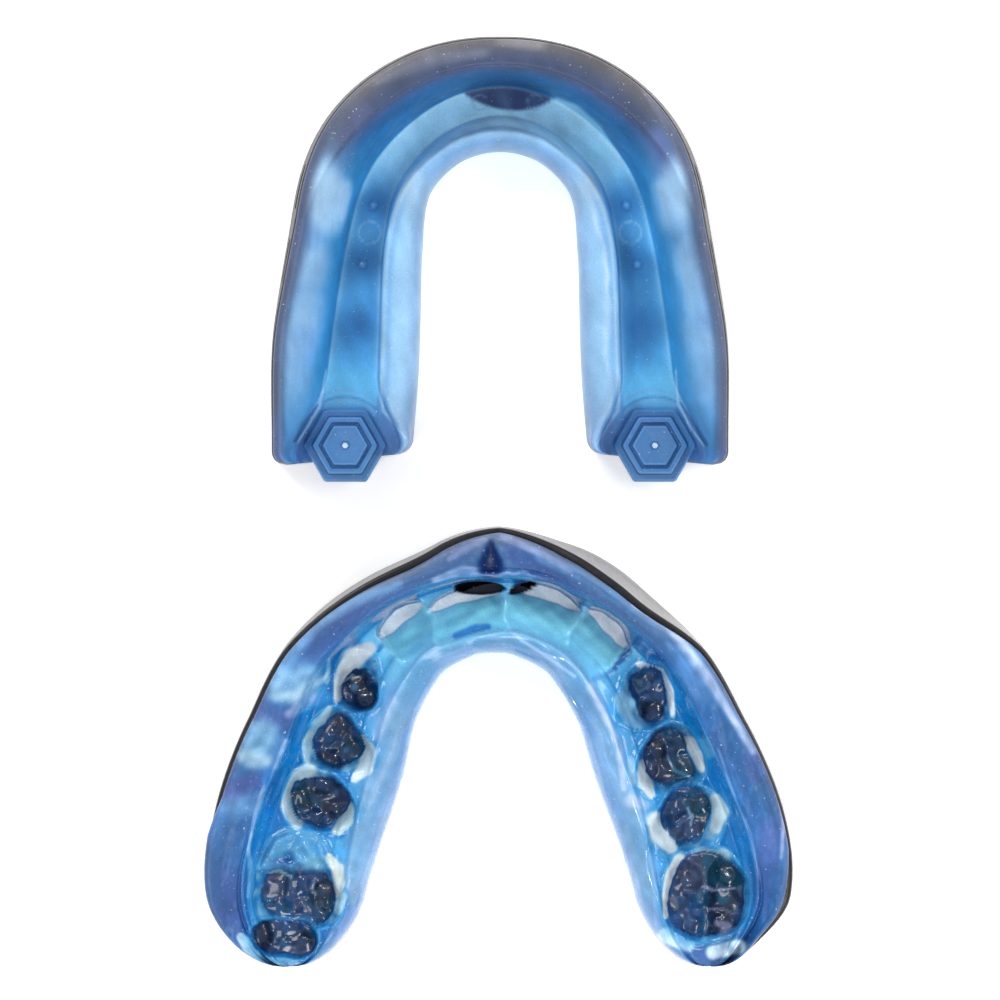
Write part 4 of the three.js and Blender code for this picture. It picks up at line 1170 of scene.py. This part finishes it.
def rounded_block(centre, right, size, corner, flare=1.0):
    """An upright block along right, with rounded corners; its inner end is wider by flare."""
    half_w, half_h = size[0] / 2 - corner, size[1] / 2 - corner
    outline = []
    for cx, cy, start in ((1, 1, 0), (-1, 1, 90), (-1, -1, 180), (1, -1, 270)):
        for a in np.radians(np.linspace(start, start + 90, 9)):
            outline.append((cx * half_w + corner * math.cos(a), cy * half_h + corner * math.sin(a)))
    right, up = np.array(right, float), np.array((0, 0, 1), float)
    deep = np.cross(right, up)
    points = [np.array(centre) + (right * u + up * v) * wide + deep * d
              for d, wide in ((-size[2] / 2, flare), (size[2] / 2, 1.0)) for u, v in outline]
    count = len(outline)
    faces = [[i, (i + 1) % count, (i + 1) % count + count, i + count] for i in range(count)]
    faces += [list(range(count))[::-1], list(range(count, 2 * count))]
    mesh = bpy.data.meshes.new("cutter")
    mesh.from_pydata((np.array(points) * MM).tolist(), [], faces)
    cutter = bpy.data.objects.new("cutter", mesh)
    bpy.context.scene.collection.objects.link(cutter)
    return cutter


def make_frame_piece(arch, material):
    """The frame, with its windows and the breathing slots in its foot cut out."""
    name = arch.guard["name"]
    grid, *_ = sweep(arch, frame_section, FRAME_RINGS)
    piece = add_piece(f"{name}_frame", grid_mesh(f"{name}_frame", grid), material)
    cutters = []
    for share in arch.guard["windows"]:
        for hand in (-1, 1):
            point, out = arch.at(np.array(hand * share))
            middle = point + out * (arch.value("outer", np.array(share)) - FRAME_WALL / 2)
            centre = (*middle, arch.guard["window_height"])
            along = (-out[1], out[0], 0)
            cutters.append(rounded_block(centre, along, WINDOW, WINDOW_CORNER, WINDOW_FLARE))
    front = arch.guard["centre"][0][1]
    for x in (-SLOT_X, SLOT_X):
        cutters.append(rounded_block((x, front, SLOT_Z), (1, 0, 0), SLOT, SLOT_CORNER))
    cut(piece, cutters)
    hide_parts(f"{name}_shock_frame")
    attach(piece, f"{name}_guard")


def make_liner_piece(arch, material):
    name = arch.guard["name"]
    grid, width, turn, out, paint = sweep(arch, liner_section, arch.guard["liner_rings"])
    shape = shape_fitted if name == "fitted" else paint_unfitted
    shape(arch, grid, width, turn, paint)
    swelling = swell_in_windows(arch, grid, width, turn, out)
    # painted light where the gel swells into the frame's windows
    paint.lay(swelling * 0.7, (112, 174, 222))
    mesh = grid_mesh(f"{name}_liner", grid, paint.rgb, paint.shine)
    piece = add_piece(f"{name}_liner", mesh, material)
    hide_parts(f"{name}_gel_liner")
    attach(piece, f"{name}_guard")


def hexagon_radius(folded, flats, corner):
    """How far a hexagon with rounded corners reaches, at angles folded into one twelfth of it."""
    sixth = math.pi / 6
    apothem = max(flats, 0.05) / 2
    corner = min(corner, apothem * 0.6)
    middle = (apothem - corner) / math.cos(sixth)
    away = sixth - folded
    arc = middle * np.cos(away)
    arc = arc + np.sqrt(np.maximum(corner**2 - (middle * np.sin(away)) ** 2, 0))
    straight = apothem * math.tan(sixth) - corner * math.tan(sixth)
    return np.where(np.arctan2(straight, apothem) < folded, arc, apothem / np.cos(folded))


def make_heel_post(node, body, material):
    """A hexagonal platform, then a raised hexagon with a groove round its dimpled button."""
    low, high = (np.array(corner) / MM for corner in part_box(node))
    x, y = (low[:2] + high[:2]) / 2 + (math.copysign(POST_OUT, low[0]), -POST_BACK)
    foot = [(8.6, low[2], 0.5, POST_FACE), (8.7, low[2] + 0.6, 0.5, POST_FACE)]
    upper = [(flats, high[2] - drop, corner, tone) for flats, drop, corner, tone in POST_PROFILE]
    profile = foot + upper
    finer = np.linspace(0, 1, 4 * (len(profile) - 1) + 1)
    flats, heights, rounding = (catmull([row[i] for row in profile], finer) for i in range(3))
    colours = catmull([row[3] for row in profile], finer)
    angles = np.linspace(0, 2 * math.pi, 145)[:-1]
    folded = np.abs((angles % (math.pi / 3)) - math.pi / 6)
    grid, rgb = [], []
    for wide, z, corner, colour in zip(flats, heights, rounding, colours):
        radius = hexagon_radius(folded, wide, corner)
        ring = (x + radius * np.cos(angles), y + radius * np.sin(angles), np.full(angles.shape, z))
        grid.append(np.stack(ring, -1))
        # each ring takes its colour from the profile, painted highlights and shade among them
        rgb.append(np.broadcast_to(colour, (len(angles), 3)))
    mesh = grid_mesh(f"{node}_look", np.array(grid), np.array(rgb))
    piece = add_piece(f"{node}_look", mesh, material)
    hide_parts(node)
    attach(piece, body)


def make_guards():
    """Both guards' own pieces, and materials for the CAD nodes that stay."""
    rubbers = {
        # the new frame's black rubber is painted grey for its sheen; the fitted frame's sheen is the
        # shader's
        "unfitted": rubber_material("frame rubber, as new, grey for its sheen", (34, 34, 40), (48, 48, 56), 0.4, 0.1),
        "fitted": rubber_material("frame rubber, fitted", (14, 13, 15), (26, 24, 27), 0.3, 0.5),
    }
    pad = rubber_material("pad rubber", (10, 14, 30), (22, 30, 60), 0.4)
    post = rubber_material("post gel", (56, 86, 146), (84, 112, 172), 0.36)
    gels = {
        "unfitted": gel_material("gel, as new", False),
        "fitted": gel_material("gel, fitted", True),
    }
    for guard in (UNFITTED, FITTED):
        arch = Arch(guard)
        make_frame_piece(arch, rubbers[guard["name"]])
        make_liner_piece(arch, gels[guard["name"]])
    for hand in ("left", "right"):
        make_heel_post(f"unfitted_{hand}_heel_post", "unfitted_guard", gels["unfitted"])
    for node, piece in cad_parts.items():
        fitted_post = node.startswith("fitted_") and "post" in node
        if "bite_pad" in node or "airway_bridge" in node or fitted_post:
            piece.data.materials.clear()
            piece.data.materials.append(post if fitted_post else pad)


# ---- stage ------------------------------------------------------------------

def make_table():
    mesh = bpy.data.meshes.new("table")
    sides = ((-1, -1), (1, -1), (1, 1), (-1, 1))
    mesh.from_pydata([(x * TABLE_REACH, y * TABLE_REACH, 0) for x, y in sides], [], [(0, 1, 2, 3)])
    n = Nodes("table")
    white = n.ramp(n.noise(40), (0.3, (250, 250, 250)), (0.7, (253, 253, 253)))
    n.put(Base_Color=white, Roughness=0.6, Specular_IOR_Level=0.1,
          Emission_Color=(1, 1, 1, 1), Emission_Strength=0.35)
    add_piece("table", mesh, n.material)


def make_studio():
    """A studio bright round the sides and darker overhead, so that flat wet gel stays dark."""
    world = bpy.data.worlds.new("studio")
    bpy.context.scene.world = world
    world.use_nodes = True
    tree = world.node_tree
    background = tree.nodes["Background"]
    place = tree.nodes.new("ShaderNodeTexCoord")
    split = tree.nodes.new("ShaderNodeSeparateXYZ")
    ramp = tree.nodes.new("ShaderNodeValToRGB")
    tree.links.new(place.outputs["Generated"], split.inputs[0])
    tree.links.new(split.outputs["Z"], ramp.inputs["Fac"])
    tree.links.new(ramp.outputs["Color"], background.inputs["Color"])
    for element, (position, value) in zip(ramp.color_ramp.elements, STUDIO_STOPS):
        element.position = position
        element.color = (value, value, value, 1)
    background.inputs["Strength"].default_value = STUDIO_STRENGTH
    for name, place, size, power in LAMPS:
        light = bpy.data.lights.new(name, "AREA")
        light.shape = "DISK"
        light.size = size
        light.energy = power
        lamp = bpy.data.objects.new(name, light)
        lamp.location = place
        lamp.rotation_euler = (-lamp.location).to_track_quat("-Z", "Y").to_euler()
        bpy.context.scene.collection.objects.link(lamp)


def make_camera():
    """Straight above the pair, with a long lens."""
    camera = bpy.data.cameras.new("camera")
    camera.sensor_width = 36
    camera.lens = camera.sensor_width * (CAMERA_HEIGHT - OUTLINE_HEIGHT) / VIEW_WIDTH
    view = bpy.data.objects.new("camera", camera)
    view.location = (0, CAMERA_NUDGE, CAMERA_HEIGHT)
    bpy.context.scene.collection.objects.link(view)
    bpy.context.scene.camera = view


make_guards()
make_table()
make_studio()
make_camera()
bpy.context.scene.view_settings.view_transform = "Standard"
